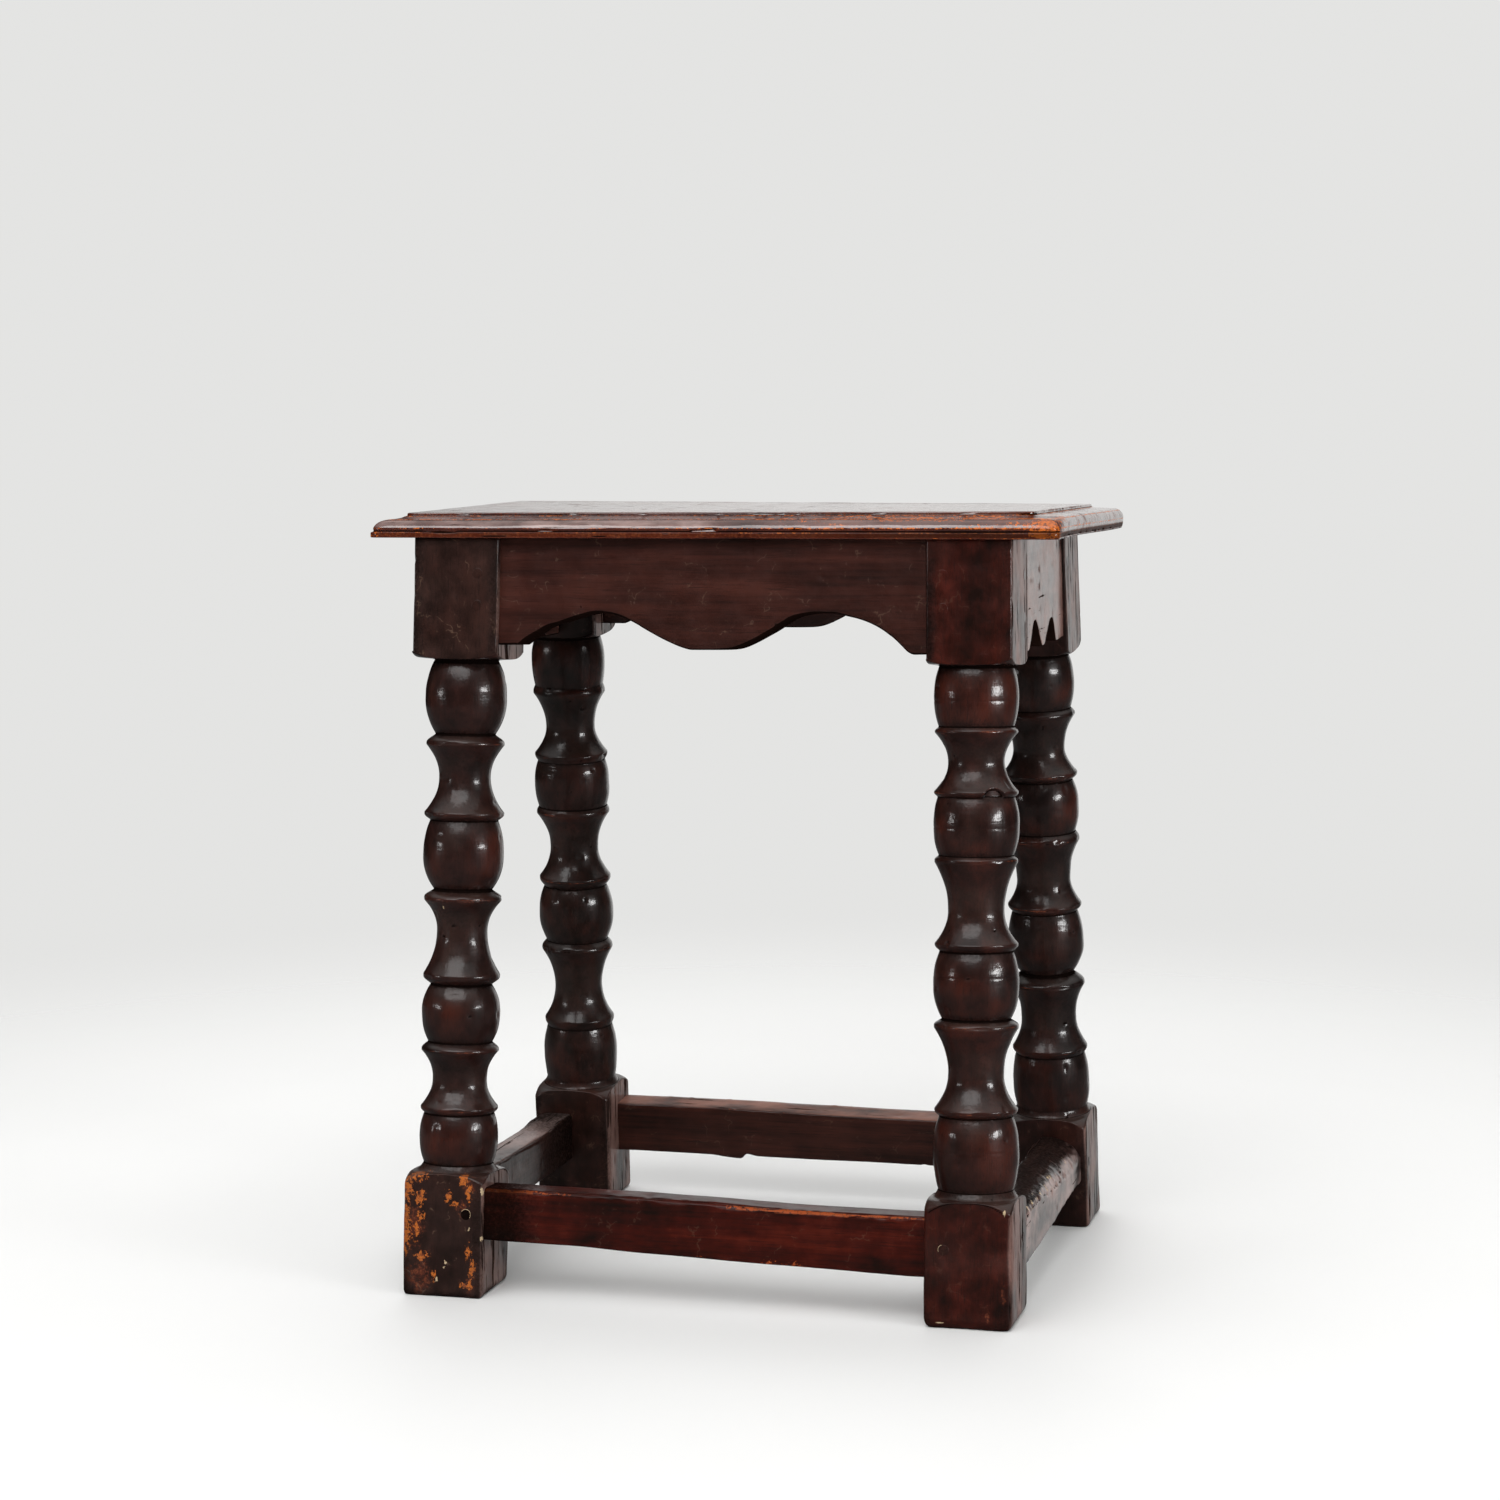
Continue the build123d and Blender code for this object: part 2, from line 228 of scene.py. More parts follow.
class Graph:
    """The nodes of a material or a world, each made and linked in one call."""

    def __init__(self, owner):
        owner.use_nodes = True
        self.nodes = owner.node_tree.nodes
        self.links = owner.node_tree.links

    def put(self, node, inputs):
        """Fill a node's inputs, by name or number: a Value is linked, and None is left as it is."""
        for key, value in inputs.items():
            if isinstance(value, Value):
                self.links.new(value.socket, node.inputs[key])
            elif value is not None:
                node.inputs[key].default_value = value

    def add(self, kind, output, inputs=None, **settings):
        """An output of a new node of this kind."""
        node = self.nodes.new("ShaderNode" + kind)
        for key, value in settings.items():
            setattr(node, key, value)
        self.put(node, inputs or {})
        return Value(self, node.outputs[output])

    def math(self, operation, a, b):
        return self.add("Math", 0, {0: a, 1: b}, operation=operation)

    def highest(self, value, *others):
        for other in others:
            value = self.math("MAXIMUM", value, other)
        return value

    def mask(self, name):
        return self.add("Attribute", "Fac", attribute_name=name)

    def place(self):
        return self.add("TexCoord", "Object")

    def grain(self, scale, detail=3.0, roughness=0.5, distortion=0.0):
        """Noise from 0 to 1, with this many lumps to the metre along each axis."""
        stretch = self.add("Mapping", 0, {"Vector": self.place(), "Scale": scale})
        return self.add("TexNoise", "Fac", {"Vector": stretch, "Scale": 1.0, "Detail": detail,
                                            "Roughness": roughness, "Distortion": distortion})

    def lines(self, scale, width):
        """1 along the thin bent lines of a net with this many cells to the metre, and 0 beside them."""
        place = self.place()
        stir = self.add("TexNoise", "Color", {"Vector": place, "Scale": 130.0, "Detail": 2.0})
        bent = {0: stir, 1: 3 * (LINE_BEND,), 2: place}
        moved = self.add("VectorMath", 0, bent, operation="MULTIPLY_ADD")
        cells = {"Vector": self.add("Mapping", 0, {"Vector": moved, "Scale": scale}), "Scale": 1.0}
        net = self.add("TexVoronoi", "Distance", cells, feature="DISTANCE_TO_EDGE")
        return 1.0 - self.step(net, 0.0, width)

    def step(self, value, low, high, least=0.0, most=1.0):
        """least below low, most above high and a smooth rise between them."""
        ends = {"From Min": low, "From Max": high, "To Min": least, "To Max": most}
        return self.add("MapRange", "Result", {"Value": value, **ends}, interpolation_type="SMOOTHSTEP")

    def mix(self, share, a, b):
        return self.add("Mix", 2, {0: share, 6: colour(a), 7: colour(b)}, data_type="RGBA")

    def ramp(self, value, stops):
        """A colour for each value: stops are (place, colour) pairs."""
        made = self.add("ValToRGB", 0, {0: value})
        elements = made.socket.node.color_ramp.elements
        for element, (place, shade) in zip(elements, (stops[0], stops[-1])):
            element.position = place
            element.color = colour(shade)
        for place, shade in stops[1:-1]:
            elements.new(place).color = colour(shade)
        return made

    def bump(self, height, strength, distance, normal=None):
        return self.add("Bump", 0, {"Height": height, "Strength": strength, "Distance": distance,
                                    "Normal": normal})


def colour(value):
    """A colour written as (red, green, blue), given its alpha; a Value is left as it is."""
    return (*value, 1.0) if isinstance(value, tuple) else value


def along(axis, lengthwise, across):
    """One number for each axis: lengthwise along the grain's axis and across on the two others."""
    return tuple(lengthwise if axis == k else across for k in range(3))


ORANGE = (0.42, 0.108, 0.013)
# Bare wood on the seat's edge, bright enough to paint the highlight on its worn right corner too.
BRIGHT_ORANGE = (0.52, 0.120, 0.014)
# The balls' red bellies: painted light, with red wood showing through.
DEEP_RED = (0.060, 0.0105, 0.0045)
BROWN_ORANGE = (0.17, 0.042, 0.012)
RED_ORANGE = (0.30, 0.056, 0.012)
RED = (0.070, 0.015, 0.0065)
LIGHT_RED = (0.145, 0.034, 0.012)
# Painted sheen on faces turned up or towards the right.
PINK_SHEEN = (0.330, 0.190, 0.160)
# Painted sheen on the turned parts' upper faces, also greying the duller spools.
TURNED_SHEEN_AND_HAZE = (0.036, 0.024, 0.019)
# Pale painted sheen on the side stretchers, a painted highlight on the seat's ovolo, and faded patches on
# its top.
PALE_SHEEN_AND_BLOOM = (0.480, 0.340, 0.310)
# Painted sheen on the back stretcher's top.
RED_SHEEN = (0.340, 0.150, 0.105)
# Dirt, and painted shade in grooves and at stretcher ends; also the drying cracks.
DIRT_AND_SHADE = (0.004, 0.0025, 0.002)
# New pale chips, and a painted highlight on one peg's rim.
PALE_CHIP_AND_HIGHLIGHT = (0.46, 0.35, 0.22)
SCRATCH = (0.13, 0.078, 0.05)
TURNED_COAT = 0.95  # how much polish the balls and spools still have
LINE_BEND = 0.016  # how far a scratch wanders, in metres


def old_wood(name, axis, tones, blocks=None, gloss=0.3, coat=0.5, coat_gloss=0.12, coat_ior=1.5,
             fade_and_sheen_colour=PINK_SHEEN, bare_wood=ORANGE, figure=1.0, scratches=0.2, shine=0.22):
    """Old polished wood with its grain along an axis.

    tones are the colours from the darkest grain to the lightest, and blocks, for a leg, those of its
    square blocks, where the mask square is 1. The other masks are worn (polish thinned to red wood),
    rubbed (bare patches), one for new pale chips that also paints a highlight on a peg's rim, one for
    dirt in hollows that also paints shade in grooves and at stretcher ends, and one for faded wood with
    drying cracks that also paints sheen on faces turned up or towards the right and a highlight on the
    seat's ovolo. A leg also has a mask for its balls' red bellies, painted light with red wood showing
    through, and the seat has dull (no sheen left).
    coat is the strength of the polish and shine that of the sheen under it, and gloss and coat_gloss
    are their roughness. The colour given for faded wood also paints that sheen, and bare_wood is the
    colour of bare patches. figure is how far the grain shows, and scratches how far they do.
    """
    material = bpy.data.materials.new(name)
    g = Graph(material)
    streaks = g.grain(along(axis, 14, 420), 4.0, 0.6)
    pores = g.grain(along(axis, 55, 1500), 2.0, 0.5)
    bands = g.grain(along(axis, 5, 95), 3.0, 0.55, 0.6)
    mottle = g.grain(along(axis, 22, 38), 4.0, 0.55)
    blots = g.grain((90, 90, 90), 5.0, 0.6)
    crumbs = g.grain(along(axis, 130, 240), 6.0, 0.75, 1.5)
    specks = g.grain((520, 520, 520), 3.0, 0.65)

    # The wood's own colours, and painted light on a leg's balls.
    tone = 0.35 * figure * bands + 0.25 * figure * streaks
    tone = tone + (0.45 - 0.1 * figure) * mottle + (0.55 - 0.5 * figure) * blots
    places = np.linspace(0.38, 0.62, len(tones)).tolist()
    shade = g.ramp(tone, list(zip(places, tones)))
    if blocks:
        # Redder bellies on the balls: painted light, with red wood showing through.
        shade = g.mix(g.mask("belly_red_and_light") * g.step(mottle, 0.38, 0.70), shade, DEEP_RED)
        shade = g.mix(g.mask("square"), shade, g.ramp(tone, list(zip(places, blocks))))
    pitted = g.step(pores, 0.58, 0.68)
    shade = g.mix(0.6 * pitted, shade, tones[0])

    # Wear, with torn edges.
    worn = g.step(g.mask("worn") + 1.4 * (blots - 0.5) + 0.8 * (specks - 0.5), 0.42, 0.85)
    shade = g.mix(worn, shade, g.mix(g.step(specks, 0.48, 0.62), RED, LIGHT_RED))
    ragged = 1.3 * crumbs + 0.7 * specks - 1.0
    rubbed = g.step(g.mask("rubbed") + 2.8 * ragged, 0.56, 0.64) * g.step(g.mask("rubbed"), 0.15, 0.3)
    shade = g.mix(rubbed, shade, g.ramp(specks, [(0.40, BROWN_ORANGE), (0.54, bare_wood)]))

    # Faded wood and painted sheen, cracks, scratches, dirt and painted shade, pale chips and a painted
    # highlight.
    fading_and_sheen = g.mask("fade_and_sheen")
    # Patches of faded wood and of painted sheen.
    fading_and_sheen_patches = fading_and_sheen * g.step(mottle, 0.3, 0.65)
    if blocks:
        fading_and_sheen = fading_and_sheen * g.mask("square")
        fade_and_sheen_colour = g.mix(g.mask("square"), TURNED_SHEEN_AND_HAZE, fade_and_sheen_colour)
    shade = g.mix((0.6 if blocks else 0.75) * fading_and_sheen_patches, shade, fade_and_sheen_colour)
    fewest = 0.56 if blocks else 0.62
    checks = g.grain(along(axis, 18, 240), 4.0, 0.6)
    cracked = g.step(checks, fewest, fewest + 0.04) * g.step(fading_and_sheen, 0.3, 0.7)
    shade = g.mix(0.85 * cracked, shade, DIRT_AND_SHADE)
    scratched = g.lines((42, 42, 42), 0.024) * g.step(blots, 0.52, 0.60)
    if blocks:
        scratched = scratched * g.mask("square")
    shade = g.mix(scratches * scratched, shade, SCRATCH)
    # Dirt in hollows, and painted shade in the turnings' grooves and at stretcher ends.
    darkened = g.step(g.mask("grime_and_shade") + 0.5 * (specks - 0.5), 0.25, 0.8)
    shade = g.mix(0.92 * darkened, shade, DIRT_AND_SHADE)
    # New pale chips, and a painted highlight on one peg's rim.
    chips_and_highlight = g.step(g.mask("chips_and_highlight") + 2.0 * ragged, 0.50, 0.58) * g.step(g.mask("chips_and_highlight"), 0.15, 0.3)
    shade = g.mix(chips_and_highlight, shade, PALE_CHIP_AND_HIGHLIGHT)

    # Sheen, and the coat of polish that is left.
    bare = g.highest(worn, rubbed)
    open_wood = g.highest(darkened, chips_and_highlight, cracked)
    rough = gloss + 0.10 * g.step(blots, 0.35, 0.7) + 0.10 * fading_and_sheen_patches + 0.15 * bare + 0.4 * open_wood
    dulled = g.highest(open_wood, g.mask("dull"))
    kept = (1.0 - g.highest(0.7 * bare, dulled)).held()
    kept = (kept * (0.55 + 0.9 * mottle)).held() * (1.0 - 0.4 * fading_and_sheen_patches)
    if blocks:
        coat = TURNED_COAT - (TURNED_COAT - coat) * g.mask("square")

    # Relief.
    normal = g.bump(mottle, 0.3, 0.0010)
    normal = g.bump(streaks, 0.5 if blocks else 0.22, 0.0003, normal)
    normal = g.bump(pitted, -0.3, 0.0002, normal)
    normal = g.bump(blots, 0.4, 0.0006, normal)
    if blocks:
        ridges = g.grain((30, 30, 420), 2.0) * (1.0 - g.mask("square"))
        normal = g.bump(ridges, 0.16, 0.0005, normal)
    normal = g.bump(g.highest(rubbed, chips_and_highlight, scratched, cracked), -0.4, 0.0004, normal)
    g.put(g.nodes["Principled BSDF"], {
        "Base Color": shade, "Roughness": rough.held(), "IOR": 1.5,
        "Specular IOR Level": (1.0 - dulled) * shine, "Coat Weight": kept * coat,
        "Coat Roughness": coat_gloss, "Coat IOR": coat_ior, "Normal": normal, "Coat Normal": normal,
    })
    return material


X_GRAIN, Y_GRAIN, Z_GRAIN = 0, 1, 2
BLACK_BROWN = (0.009, 0.0035, 0.0025)
APRON_TONES = ((0.014, 0.0040, 0.0026), (0.033, 0.0085, 0.0055), (0.052, 0.014, 0.009))
SIDE_TONES = ((0.035, 0.011, 0.008), (0.075, 0.028, 0.021), (0.120, 0.052, 0.040))
FRONT_TONES = (BLACK_BROWN, (0.038, 0.0042, 0.0020), (0.082, 0.0095, 0.0036))
BACK_TONES = (BLACK_BROWN, (0.029, 0.008, 0.005), (0.050, 0.013, 0.008))
LEFT_TONES = (BLACK_BROWN, (0.030, 0.012, 0.009), (0.060, 0.026, 0.020))
RIGHT_TONES = ((0.008, 0.004, 0.0035), (0.026, 0.012, 0.0095), (0.060, 0.028, 0.022))
SEAT_TONES = ((0.030, 0.0050, 0.0025), (0.075, 0.0125, 0.005), (0.135, 0.027, 0.009))
PEG_TONES = (BLACK_BROWN, (0.018, 0.006, 0.0045), (0.030, 0.009, 0.006))

wood = {
    "apron_long": old_wood("apron_wood_long", X_GRAIN, APRON_TONES, gloss=0.36, coat=0.25, figure=0.9,
                           scratches=0.3),
    "apron_short": old_wood("apron_wood_short", Y_GRAIN, SIDE_TONES, gloss=0.28, coat=0.85, figure=0.9),
    "stretcher_front": old_wood("stretcher_wood_front", X_GRAIN, FRONT_TONES, gloss=0.32, coat=0.2,
                                bare_wood=RED_ORANGE, figure=0.7, shine=0.12),
    "stretcher_back": old_wood("stretcher_wood_back", X_GRAIN, BACK_TONES, gloss=0.34, coat=0.5,
                               fade_and_sheen_colour=RED_SHEEN, bare_wood=RED_ORANGE),
    "stretcher_left": old_wood("stretcher_wood_left", Y_GRAIN, LEFT_TONES, gloss=0.32, coat=0.65,
                               fade_and_sheen_colour=PALE_SHEEN_AND_BLOOM),
    "stretcher_right": old_wood("stretcher_wood_right", Y_GRAIN, RIGHT_TONES, gloss=0.34, coat=0.8,
                                fade_and_sheen_colour=PALE_SHEEN_AND_BLOOM),
    "seat": old_wood("seat_wood", X_GRAIN, SEAT_TONES, gloss=0.20, coat=0.95, coat_gloss=0.08, coat_ior=2.1,
                     fade_and_sheen_colour=PALE_SHEEN_AND_BLOOM, bare_wood=BRIGHT_ORANGE, figure=0.8, scratches=0.15, shine=0.12),
    "peg": old_wood("peg_wood", Y_GRAIN, PEG_TONES, gloss=0.32, coat=0.3),
}

# -------- legs
# Heights are above the floor, from the top down. A leg has three spools, each between two rings, with a
# ball above each spool and one below the last.
# grooves: from each ring to the bottom of the groove beside it, away from the spool
# necks: the radii under the top block, at the grooves' bottoms and above the foot
# waists: where each spool is thinnest, as a share of the way down it
# widths: the top block's along X and Y, then the foot's
# drift: how far the leg stands moved along X at the seat and at the floor
# arris: the power of the foot's rounded square, low where it is round
# scribes: lines cut round the balls, if there are any
# tones and blocks: the wood's colours on the turned part and on the blocks
# rubs, chips and thinned: bare, chipped and thinly polished patches on the front: (x, height, and reach
#     along X and Z)
# broken: pieces gone from a ring: (the ring's height, their bearing and half reach in degrees, their
#     height and the radius left)
LEGS = {
    "front_left": {
        "end": -1, "side": -1, "block_bottom": 398, "foot_top": 80,
        "rings": (345.5, 300.5, 247.5, 198, 152, 114.5),
        "ring_radii": (24.8, 25.4, 25, 24.5, 24.6, 24.5), "grooves": (5.5, 3.8, 5.5, 5, 4.5, 3),
        "necks": (20, 19, 21.5, 18.3, 19.3, 20.3, 22, 22), "balls": (25.7, 25.5, 24.8, 24.9),
        "spools": (16.4, 15.9, 17), "waists": (0.48, 0.41, 0.5), "widths": (56, 54, 53, 54),
        "drift": (0, 0.5), "arris": 22,
        "tones": ((0.009, 0.0040, 0.0032), (0.018, 0.0058, 0.0045), (0.032, 0.0090, 0.006)),
        "blocks": ((0.009, 0.0045, 0.0035), (0.020, 0.0080, 0.006), (0.034, 0.012, 0.0085)),
        "rubs": (
            (-18, 76, 8, 5.5), (-23.5, 66, 3.8, 13), (-24.5, 42, 3.2, 17), (-15, 60, 3.6, 5),
            (-17, 40, 3.2, 6), (-14, 49, 2.6, 3), (3.5, 62, 3.2, 3.8), (9, 57.5, 4.5, 1.6),
            (14, 73, 2.8, 4.5), (17.5, 66, 2, 7), (17.5, 29, 2, 5.5), (20.5, 19, 2.4, 6.5), (17, 8, 5, 2),
            (-13, 25, 4.6, 2.5), (-5.5, 13, 1.5, 4),
        ),
        "chips": (
            (2.5, 22, 0.9, 1.3), (1.2, 18.5, 0.8, 1.2), (-3.5, 11, 0.7, 1.4), (17.8, 43, 0.7, 1.6),
            (25.5, 66, 0.8, 2.4), (25.5, 37, 0.7, 1.6), (-5, 241.5, 1.4, 2.4),
        ),
        "thinned": ((-14, 13, 14, 14), (19, 9, 10, 9), (-18, 42, 11, 24), (13, 56, 7, 9), (17, 70, 6, 10)),
        "scratches": 0.5, "seed": 1,
    },
    "front_right": {
        "end": 1, "side": -1, "block_bottom": 398, "foot_top": 80,
        "rings": (358.5, 321, 280.5, 228.7, 180, 128), "ring_radii": (25.5, 25.7, 25.4, 25.6, 26, 25.6),
        "grooves": (2.5, 2.5, 2.5, 3.7, 3.7, 3.3), "necks": (22.4, 23, 23.4, 22.8, 22.5, 21, 22.5, 23),
        "balls": (25.8, 26.3, 26.2, 26.3), "spools": (17.3, 17.3, 17), "waists": (0.5, 0.6, 0.58),
        "widths": (53, 54, 55, 57), "drift": (0, -0.5), "arris": 13,
        "scribes": (376.8, 300.2, 210.2, 104.6),
        "tones": ((0.009, 0.0034, 0.0026), (0.019, 0.0054, 0.0038), (0.038, 0.008, 0.0048)),
        "blocks": ((0.009, 0.0030, 0.0020), (0.027, 0.0040, 0.0020), (0.056, 0.0070, 0.0030)),
        "broken": ((321, -53, 16, 4.4, 22.2),),
        "chips": ((-17, 3.8, 3.5, 0.4), (12, 47, 0.7, 0.8), (23, 70, 0.6, 1.8)),
        "thinned": ((22.5, 20, 2, 15), (13, 11, 1.8, 9)), "scratches": 0.12, "seed": 2,
    },
    "back_left": {
        "end": -1, "side": 1, "block_bottom": 400, "foot_top": 86,
        "rings": (361, 316.5, 276.5, 229, 180, 128), "ring_radii": (24.8, 25.3, 25.4, 25, 24.7, 24.2),
        "grooves": (4, 4.2, 3.5, 5.5, 5, 4.4), "necks": (22, 23.5, 23.3, 23.7, 21.7, 21.3, 22.7, 24),
        "balls": (25.2, 25.9, 25.8, 25.6), "spools": (16.8, 16.5, 16.5), "waists": (0.55, 0.54, 0.54),
        "widths": (54, 52, 54, 54), "drift": (-1.2, 1.6), "arris": 20,
        "tones": ((0.007, 0.0040, 0.003), (0.015, 0.0060, 0.0045), (0.030, 0.009, 0.006)),
        "blocks": ((0.008, 0.004, 0.003), (0.016, 0.0065, 0.0048), (0.030, 0.010, 0.007)),
        "scratches": 0.25, "seed": 3,
    },
    "back_right": {
        "end": 1, "side": 1, "block_bottom": 391, "foot_top": 81,
        "rings": (350, 309, 265, 219.5, 166, 120.7), "ring_radii": (24.8, 25, 25, 24.8, 25, 25.2),
        "grooves": (3.4, 4, 4.8, 4, 7, 3.5), "necks": (21, 22, 21.5, 22.3, 21.8, 17.5, 23, 24),
        "balls": (25, 25.4, 25.3, 25.8), "spools": (17.2, 18, 18.4), "waists": (0.56, 0.59, 0.5),
        "widths": (52, 54, 53, 54), "drift": (-2.2, 3.2), "arris": 20,
        "tones": ((0.006, 0.0035, 0.003), (0.013, 0.0055, 0.0045), (0.027, 0.008, 0.0055)),
        "blocks": ((0.008, 0.004, 0.003), (0.018, 0.0065, 0.005), (0.034, 0.011, 0.008)),
        "scratches": 0.25, "seed": 4,
    },
}
BALL_SWELL = 2.3  # how fast a ball swells from its neck
SPOOL_FLARE = 2.1  # how late a spool flares to its ring
RING_ROUND = 1.2  # how pointed a ring is towards its groove
RING_LAND = 0.05  # a ring's flat edge, as a share of the half spool
FOOT_DROP = 14  # from a foot's neck down to the corners of its square
TOP_DROP = 5.5
FOOT_COVE = 0.34  # the share of the drop that is hollow
TOP_COVE = 0.08
SCRIBE_DEPTH = 0.16
FINE = 0.1  # between the heights of a turned profile
LEG_ROWS = 500
QUADRANT_COLUMNS = 40
BLEND = 0.7  # how softly the turned and the square surface meet
MIDDLE = (200, 260)  # between these heights the foot's widths give way to the top block's
OUTSIDE = 60.0  # a radius beyond the square, where a leg isn't turned


def turned_knots(leg):
    """(height, radius, kind) at every neck, ball, ring and waist of a leg, from the top down."""
    necks, radii = leg["necks"], leg["ring_radii"]
    knots = [(leg["block_bottom"], necks[0], "neck")]
    for k in range(3):
        upper, lower = leg["rings"][2 * k : 2 * k + 2]
        upper_groove, lower_groove = leg["grooves"][2 * k : 2 * k + 2]
        neck = upper + upper_groove
        knots += [
            ((knots[-1][0] + neck) / 2, leg["balls"][k], "ball"),
            (neck, necks[2 * k + 1], "neck"),
            (upper, radii[2 * k], "ring"),
            (upper + leg["waists"][k] * (lower - upper), leg["spools"][k], "waist"),
            (lower, radii[2 * k + 1], "ring"),
            (lower - lower_groove, necks[2 * k + 2], "neck"),
        ]
    knots.append(((knots[-1][0] + leg["foot_top"]) / 2, leg["balls"][3], "ball"))
    return knots + [(leg["foot_top"], necks[7], "neck")]


def blurred(values, reach, width):
    """Values at fine heights, each averaged with its neighbours within a reach, in millimetres."""
    window = bell(np.arange(-reach, reach + FINE / 2, FINE), width)
    return np.convolve(np.pad(values, len(window) // 2, mode="edge"), window / window.sum(), mode="valid")


def turned_profile(leg):
    """Fine heights from the floor up, and the radius that the turner left at each of them."""
    heights = np.arange(0, UNDERSIDE + FINE, FINE)
    radius = np.full(len(heights), OUTSIDE)
    knots = turned_knots(leg)
    for (high, r_high, kind_high), (low, r_low, kind_low) in zip(knots, knots[1:]):
        here = (heights <= high) & (heights >= low)
        down = (high - heights[here]) / (high - low)
        out = down if r_high < r_low else 1 - down
        kinds = {kind_high, kind_low}
        if kinds == {"neck", "ball"}:
            share = 1 - (1 - out) ** BALL_SWELL
        elif kinds == {"waist", "ring"}:
            share = np.clip(out / (1 - RING_LAND), 0, 1) ** SPOOL_FLARE
        else:
            share = np.sin(out * math.pi / 2) ** RING_ROUND
        least, most = sorted((r_high, r_low))
        radius[here] = least + (most - least) * share
    for start, way, drop, neck, cove_share in (
        (leg["foot_top"], -1, FOOT_DROP, leg["necks"][-1], FOOT_COVE),
        (leg["block_bottom"], 1, TOP_DROP, leg["necks"][0], TOP_COVE),
    ):
        # A shoulder: a cove from the neck to the face, then round to the corners of the square.
        out = np.linspace(neck, LEG_HALF * math.sqrt(2) + 1, 60)
        cove = 1 - np.clip((LEG_HALF - out) / (LEG_HALF - neck), 0, 1) ** 2
        corner = (np.clip(out - LEG_HALF, 0, None) / (out[-1] - LEG_HALF)) ** 2.2
        fall = drop * (cove_share * cove + (1 - cove_share) * corner)
        depth = way * (heights - start)
        dome = (depth >= 0) & (depth <= drop)
        radius[dome] = np.interp(depth[dome], fall, out)
    for scribe in leg.get("scribes", ()):
        radius -= SCRIBE_DEPTH * bell(heights - scribe, 0.4)
    return heights, blurred(radius, 1.2, 0.38)


def leg_rows(leg, heights, radius):
    """Heights of a leg's rows, closest together where its turned outline slopes or bends."""
    turned = (heights > leg["foot_top"] - FOOT_DROP - 2) & (heights < leg["block_bottom"] + TOP_DROP + 2)
    slope = np.where(turned, np.gradient(radius, heights), 0)
    curve = np.where(turned, abs(np.gradient(slope, heights)), 0)
    density = np.hypot(1, np.clip(slope, -3, 3)) + 2.2 * np.clip(curve, 0, 2)
    density = np.where(turned, density, 0.5 + 0.4 * (heights < leg["foot_top"]) + 2.2 * (heights < 6))
    count = np.concatenate([[0], np.cumsum((density[1:] + density[:-1]) / 2)])
    return np.interp(np.linspace(0, count[-1], LEG_ROWS), count, heights)


def leg_columns():
    """Angles round a leg, closest together at the four arrises."""
    even = np.linspace(-1, 1, QUADRANT_COLUMNS, endpoint=False)
    pulled = np.sign(even) * abs(even) ** 1.8 * 0.75 + even * 0.25
    return np.concatenate([math.pi / 4 * (pulled + 1 + 2 * q) for q in range(4)])


def leg_matrix(leg):
    """A leg's own axes: Z up the leg, zero at the underside of the seat."""
    x = leg["end"] * (FRAME_LENGTH - LEG_SQUARE) / 2
    y = leg["side"] * (FRAME_WIDTH - LEG_SQUARE) / 2
    lean = Matrix.Rotation(leg["side"] * CANT, 4, "X") @ Matrix.Rotation(-leg["end"] * SPLAY, 4, "Y")
    return Matrix.Translation((x, y, UNDERSIDE)) @ lean


skins = {}  # the finished surface of each leg, which its pegs' heads lie in
leg_woods = {}  # each leg's own material


def square_section(leg, height, cos, sin, seed):
    """A leg's half widths along X and Y, and the radius to its square faces with their worn arrises."""
    top_x, top_y, foot_x, foot_y = leg["widths"]
    upper = rise(height, *MIDDLE)
    half_x = (foot_x + (top_x - foot_x) * upper) / 2
    half_y = (foot_y + (top_y - foot_y) * upper) / 2
    wear = noise(xyz(20 * cos, 20 * sin, height) * (1, 1, 0.6), 14, seed + 1)
    power = leg["arris"] * (1 + 0.35 * wear) + 22 * upper
    radius = (abs(cos / half_x) ** power + abs(sin / half_y) ** power) ** (-1 / power)
    tread = 80 / leg["arris"]
    bottom = np.clip(1 - height / tread, 0, 1)
    return half_x, half_y, radius - (0.7 * tread * (1 - np.sqrt(1 - bottom**2)) + 0.3)


def hand_work(leg, r, place, blocky, seed):
    """Radii with lumps from the turning tool, dents, and chips out of the rings' edges."""
    lumps = 0.28 * noise(place, (15, 15, 9), seed + 2) + 0.05 * noise(place, (9, 9, 4), seed + 3)
    dents = -0.7 * rise(noise(place, 7, seed + 4), 0.62, 0.95)
    flats = 0.20 * noise(place, (30, 30, 45), seed + 5) + 0.10 * noise(place, (9, 9, 30), seed + 6)
    pared = -0.2 * rise(noise(place, (8, 8, 11), seed + 11), -0.1, 0.7)
    r = r + (1 - blocky) * (lumps + dents) + blocky * (flats + pared + 0.6 * dents)
    chips = 0.8 * rise(noise(place, (8, 8, 60), seed + 7), 0.3, 0.8) + 0.05
    for ring in leg["rings"]:
        r = r - bell(place[..., 2] - ring, 1.3) * chips
    return r


def break_rings(leg, r, height, angle):
    """Radii without the pieces broken out of the rings, and 1 where the surface is whole."""
    whole = np.ones_like(r)
    for ring, bearing, reach, tall, left in leg.get("broken", ()):
        aside = (np.degrees(angle) - bearing + 180) % 360 - 180
        arch = tall * np.cos(np.clip(aside / reach, -1, 1) * math.pi / 2) ** 0.7
        gone = rise(ring + arch - 1.2 - height, -0.4, 0.4) * rise(height, ring - 2.6, ring - 1.6)
        gone = gone * (abs(aside) < reach)
        r = r - gone * np.clip(r - left, 0, 9)
        whole = whole * (1 - gone)
    return r, whole


